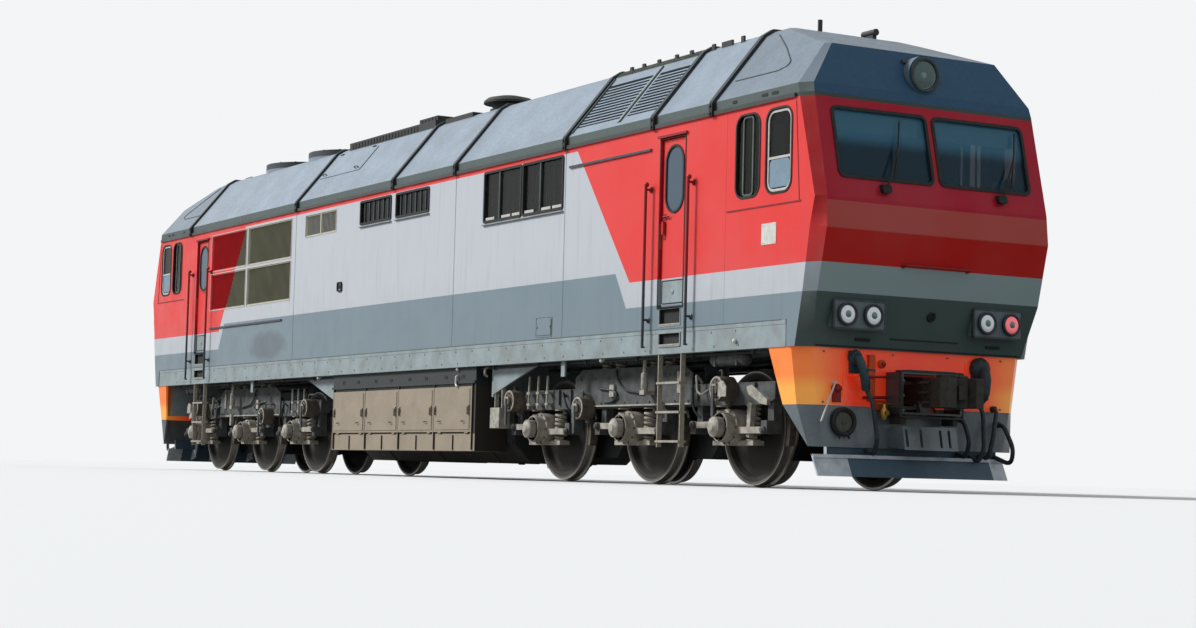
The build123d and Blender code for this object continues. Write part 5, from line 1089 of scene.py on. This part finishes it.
gauge = [block(2.945, 3.2, 1.2, 1.36, 0.62, 0.88), block(2.96, 2.985, 1.25, 1.31, 0.87, 1.42),
    block(3.15, 3.175, 1.25, 1.31, 0.87, 1.38), pipe(((2.85, 1.33, 1.4), (2.85, 1.4, 1.38), (2.85, 1.4, 1.3),
        (2.85, 1.36, 1.28)), 0.016, 0.03)]
makePiece("gauge_boxes", "paleBogieEnamel", bothSides(gauge), bevel=0.006)

# bogies: built about the pivot, u along X
print("bogies")
frameFace, plateY = 1.135, 1.155
drums = ((axlePitch - 0.04, 1.02), (-0.97, 0.85), (-axlePitch - 0.6, 0.96))
axleU = (axlePitch, 0.0, -axlePitch)
springs = []
for u in (-0.72, -0.4, 0.4, 0.72):
    springs += coil(u, 1.056, 1.2105, 1.4095, 0.058, 0.0145, 4)
for a in axleU:
    for s in (-1, 1):
        springs += coil(a + s * 0.3, 1.06, 0.4705, 0.8495, 0.064, 0.0165, 6)
boxBolts, boxRims, paleBits, ironBits, airPipes = [], [], [], [], []
for a in axleU:
    boxBolts += bolts(circleOutline(a, axleZ, 0.136, 8), "y", 1.299, 1.314, 0.015)
    boxBolts += bolts(circleOutline(a, axleZ, 0.08, 6), "y", 1.379, 1.39, 0.011)
    boxBolts += bolts(circleOutline(a, axleZ, 0.178, 10), "y", 1.199, 1.212, 0.013)
    boxRims.append(lathe(((1.38, 0.108), (1.386, 0.104), (1.386, 0.094), (1.38, 0.092)), "y", (a, axleZ), 28))
    boxRims.append(lathe(((1.372, 0.1), (1.392, 0.092), (1.412, 0.05), (1.416, 0.046), (1.418, 0.0)), "y",
            (a, axleZ), 24))
    boxRims.append(lathe(((1.3, 0.158), (1.306, 0.156), (1.306, 0.148), (1.3, 0.146)), "y", (a, axleZ), 28))
    for s in (-1, 1):
        ironBits.append(lathe(((1.196, 0.044), (1.222, 0.042), (1.23, 0.026), (1.238, 0.024)), "y",
                (a + s * 0.7, axleZ - 0.03 * s), 14))
for u, z in drums:
    boxRims.append(lathe(((1.324, 0.134), (1.331, 0.13), (1.331, 0.112), (1.324, 0.11)), "y", (u, z), 28))
    boxBolts += bolts(circleOutline(u, z, 0.094, 8), "y", 1.324, 1.336, 0.011)
    ironBits.append(pipe(((u, 1.25, z + 0.12), (u, 1.25, z + 0.2), (u - 0.14, 1.2, z + 0.2),
            (u - 0.16, 1.12, z + 0.16)), 0.014, 0.03))
    ironBits += [block(u - 0.022, u + 0.022, 1.354, 1.378, z - 0.3, z + 0.03),
        block(u - 0.05, u + 0.05, 1.13, 1.18, z - 0.17, z - 0.12)]
    paleBits.append(block(u - 0.04, u + 0.04, 1.352, 1.362, z - 0.05, z + 0.05))
# edge of the guard plate, pale brackets, rods and steps seen in front of the frame
paleBits += [block(-1.34, 1.34, plateY, plateY + 0.012, 0.868, 0.886),
    block(0.7, 0.765, plateY, plateY + 0.05, 0.72, 0.9)]
paleBits += [prism([(2.46, 1.04), (2.56, 1.06), (2.86, 0.9), (2.86, 0.84), (2.72, 0.86), (2.5, 0.96)], "y",
        frameFace - 0.01, frameFace + 0.035), prism([(2.46, 0.52), (2.52, 0.5), (2.56, 0.86), (2.49, 0.88)],
        "y", frameFace - 0.03, frameFace + 0.03)]
paleBits += [tube(((u, 1.2, 0.86), (u + 0.02, 1.2, 1.26)), 0.016) for u in (-2.46, -2.22, -1.98)]
paleBits += [block(u - 0.03, u + 0.04, frameFace - 0.01, 1.212, z, z + 0.03)
    for u in (-2.46, -2.22, -1.98) for z in (0.9, 1.04)]
paleBits.append(prism([(2.22, 0.93), (2.38, 0.93), (2.38, 1.04), (2.32, 1.1), (2.22, 1.08)], "y", 1.366, 1.376))
paleBits.append(pipe(((1.53, 1.14, 1.1), (1.53, 1.22, 1.19), (1.56, 1.22, 1.0), (1.64, 1.22, 0.96),
        (1.66, 1.14, 1.02)), 0.014, 0.03))
paleBits += [block(-0.46, -0.36, plateY, plateY + 0.03, 0.98, 1.12),
    block(1.05, 1.12, plateY, plateY + 0.02, 1.0, 1.24)]
# the damper stands on the frame, its upper rod under the sole bar
paleBits += [lathe(((1.03, 0.03), (1.06, 0.042), (1.22, 0.042), (1.24, 0.024), (1.385, 0.024)), "z",
        (0.49, 1.265), 14), block(0.44, 0.54, plateY, 1.3, 0.985, 1.035)]
boxBolts += bolts([(-1.26 + 0.28 * i, 0.91) for i in range(10)], "y", plateY - 0.001, plateY + 0.012, 0.013)
boxBolts += bolts([(s * u, 1.2) for s in (-1, 1) for u in (0.25, 0.85, 1.2)], "y",
    plateY - 0.001, plateY + 0.012, 0.016)
airPaths = [((-0.34, 1.13, 1.3), (-0.32, 1.178, 1.27), (-0.26, 1.178, 1.14), (-0.1, 1.178, 1.05),
        (0.28, 1.178, 1.01), (0.34, 1.15, 1.0)), ((-0.76, 1.15, 1.09), (-0.7, 1.176, 1.08),
        (-0.34, 1.176, 1.05), (-0.28, 1.176, 0.98), (-0.4, 1.176, 0.92), (-0.62, 1.15, 0.91)),
    ((1.3, 1.14, 1.05), (1.4, 1.19, 1.02), (1.44, 1.19, 0.8), (1.52, 1.15, 0.72)),
    ((-1.62, 1.13, 1.0), (-1.6, 1.19, 1.06), (-1.5, 1.19, 0.9), (-1.46, 1.14, 0.8))]
airPipes += [pipe(path, 0.014, 0.1, 8) for path in airPaths]
# sand pipes down to the rail ahead of the outer wheels
sand = [pipe(((s * 2.84, 0.785, 1.1), (s * 2.88, 0.785, 0.5), (s * 2.66, 0.785, 0.14)), 0.016, 0.1)
    for s in (-1, 1)]
sand += [block(s * 2.8 - 0.05, s * 2.8 + 0.05, 0.73, 0.84, 1.09, 1.13) for s in (-1, 1)]
# welds and ribs on the side beams
for u in (-2.6, -1.75, -1.45, 1.45, 1.75, 2.6):
    ironBits.append(block(u - 0.012, u + 0.012, frameFace - 0.002, frameFace + 0.03, 0.9, 1.085))
shift = Matrix.Translation((bogieX, 0, 0))
for end, flip in (("front", same), ("rear", turned)):
    for name, coat, shapes, slot in (("wound_springs", "dustyAxleBoxIron", springs, "spring_steel"),
        ("box_bolts", "dustyBrakeIron", boxBolts, "axle_box_iron"),
        ("box_rims", "paleBogieEnamel", boxRims, "axle_box_iron"),
        ("pale_bogie_fittings", "paleBogieEnamel", paleBits, "bogie_paint"),
        ("bogie_fittings", "grimyCastSteel", ironBits, "bogie_paint"),
        ("bogie_air_pipes", "blackBrakePipe", airPipes, "bogie_paint"),
        ("sand_pipes", "dustyBrakeIron", sand, "bogie_paint")):
        replaced = (f"bogie_springs_{end}",) if name == "wound_springs" else ()
        shapes = [flip(moved(s, shift)) for s in bothSides(shapes)]
        makePiece(f"{name}_{end}", coat, shapes, f"bogie_{end}", replaced)

# inside the cabs
print("cabs")


def cushion(cx, cy, cz, lx, ly, lz, lean=0.0, square=0.32):
    # a crowned pad: a ball pulled towards a box, so that its sides stay round between the corners
    points, faces = [], []
    rows, ring = 14, 24
    power = lambda v: math.copysign(abs(v) ** square, v)
    turn = Matrix.Translation((cx, cy, cz)) @ Matrix.Rotation(math.radians(lean), 4, "Y")
    for i in range(rows + 1):
        a = -math.pi / 2 + math.pi * i / rows
        for k in range(ring):
            b = 2 * math.pi * k / ring
            p = Vector((lx / 2 * power(math.cos(a)) * power(math.cos(b)),
                    ly / 2 * power(math.cos(a)) * power(math.sin(b)), lz / 2 * power(math.sin(a))))
            points.append(tuple(turn @ p))
    for i in range(rows):
        for k in range(ring):
            n = (k + 1) % ring
            faces.append((i * ring + k, i * ring + n, (i + 1) * ring + n, (i + 1) * ring + k))
    return points, faces + [tuple(range(ring)), tuple(range(rows * ring, (rows + 1) * ring))]


seatFrames = []
for number, (side, flip) in enumerate(((-1, same), (1, same), (-1, turned), (1, turned))):
    y = side * 0.7
    pads = {"seat_pad": cushion(8.885, y, 2.128, 0.46, 0.45, 0.115),
        "back_pad": cushion(8.668, y, 2.5, 0.1, 0.43, 0.64, -8, 0.42)}
    for name, pad in pads.items():
        piece = makePiece(f"{name}_{number + 1}", "seatCloth", [flip(pad)],
            replaces=("cab_seats",))
    seatFrames += [flip(lathe(((1.69, 0.188), (1.705, 0.188), (1.715, 0.07), (2.04, 0.055), (2.048, 0.16),
            (2.066, 0.16)), "z", (8.88, y), 20)), flip(moved(block(-0.012, 0.012, -0.2, 0.2, -0.3, 0.33),
            Matrix.Translation((8.6, y, 2.5)) @ Matrix.Rotation(math.radians(-8), 4, "Y")))]
makePiece("seat_frames", "mouldedDeskPlastic", seatFrames, replaces=("cab_seats",), bevel=0.006)
desk = []
for y in (-0.85, -0.5, 0.5):
    desk.append(moved(block(-0.02, 0.02, -0.15, 0.15, 0.0, 0.2),
            Matrix.Translation((9.66, y, 2.75)) @ Matrix.Rotation(math.radians(-24), 4, "Y")))
desk += [prism([(9.62, 2.74), (9.9, 2.872), (9.92, 2.96), (9.8, 2.96), (9.66, 2.86)], "y", -1.1, 1.1),
    pipe(((9.5, -0.3, 2.66), (9.46, -0.3, 2.8)), 0.012),
    lathe(((2.79, 0.02), (2.82, 0.03), (2.85, 0.02)), "z", (9.46, -0.3), 12)]
makePiece("desk_instruments", "mouldedDeskPlastic", bothEnds(desk), bevel=0.004)

# camera, lights and floor
print("stage")
view = {"place": (29.163, -14.466, 0.076 + rail), "yaw": 150.825, "pitch": 3.968, "roll": 1.47, "lens": 69.453}
yaw, pitch, roll = (math.radians(view[k]) for k in ("yaw", "pitch", "roll"))
ahead = Vector((math.cos(pitch) * math.cos(yaw), math.cos(pitch) * math.sin(yaw), math.sin(pitch)))
level = Vector((math.sin(yaw), -math.cos(yaw), 0))
over = level.cross(ahead)
right = level * math.cos(roll) + over * math.sin(roll)
upward = over * math.cos(roll) - level * math.sin(roll)
cameraData = bpy.data.cameras.new("camera")
cameraData.lens, cameraData.sensor_width = view["lens"], 36
camera = bpy.data.objects.new("camera", cameraData)
camera.matrix_world = Matrix.Translation(view["place"]) @ Matrix((right, upward, -ahead)).transposed().to_4x4()
bpy.context.scene.collection.objects.link(camera)
bpy.context.scene.camera = camera

studio = {"key": 3.55, "keyFrom": (-0.6, -0.68, 0.6), "keyAngle": 14, "world": 0.53, "floor": "#e8e8e6",
    "floorBounce": "#8a8883", "back": "#f4f5f6", "sky": "#e8eef6", "floorHalf": 400}
key = bpy.data.objects.new("key", bpy.data.lights.new("key", "SUN"))
key.data.energy, key.data.angle = studio["key"], math.radians(studio["keyAngle"])
key.matrix_world = (Vector(studio["keyFrom"])).to_track_quat("Z", "Y").to_matrix().to_4x4()
bpy.context.scene.collection.objects.link(key)


# pale matt studio floor: paler to the camera than in the light it throws back; it keeps the object's shadow
def paleStudioFloor():
    material, add, wire, place = startMaterial("paleStudioFloor", {"Roughness": 0.9, "Specular IOR Level": 0.2})
    seen = add("LightPath", out="Is Camera Ray")
    wire({"Base Color": add("Mix", {**rgba, 6: studio["floorBounce"], 7: studio["floor"]}, {0: seen}, 2)})
    return material


floorMesh = bpy.data.meshes.new("floor")
half = studio["floorHalf"]
floorMesh.from_pydata([(-half, -half, 0), (half, -half, 0), (half, half, 0), (-half, half, 0)], [],
    [(0, 1, 2, 3)])
floor = bpy.data.objects.new("floor", floorMesh)
floorMesh.materials.append(paleStudioFloor())
bpy.context.scene.collection.objects.link(floor)

world = bpy.data.worlds.new("studio")
bpy.context.scene.world = world
world.use_nodes = True
world.node_tree.nodes.clear()
add = partial(addNode, world.node_tree)
# the camera, glass and shiny paint all see the pale backdrop
rays = add("LightPath").node.outputs
seen = add("Math", either, {0: rays["Is Camera Ray"], 1: rays["Is Transmission Ray"]})
seen = add("Math", either, {0: seen, 1: rays["Is Glossy Ray"]})
sky = add("Background", {"Color": studio["sky"], "Strength": studio["world"]})
backdrop = add("Background", {"Color": studio["back"], "Strength": 1.0})
add("OutputWorld", links={"Surface": add("MixShader", {}, {0: seen, 1: sky, 2: backdrop})})
bpy.context.scene.view_settings.view_transform = "Standard"

print("done")
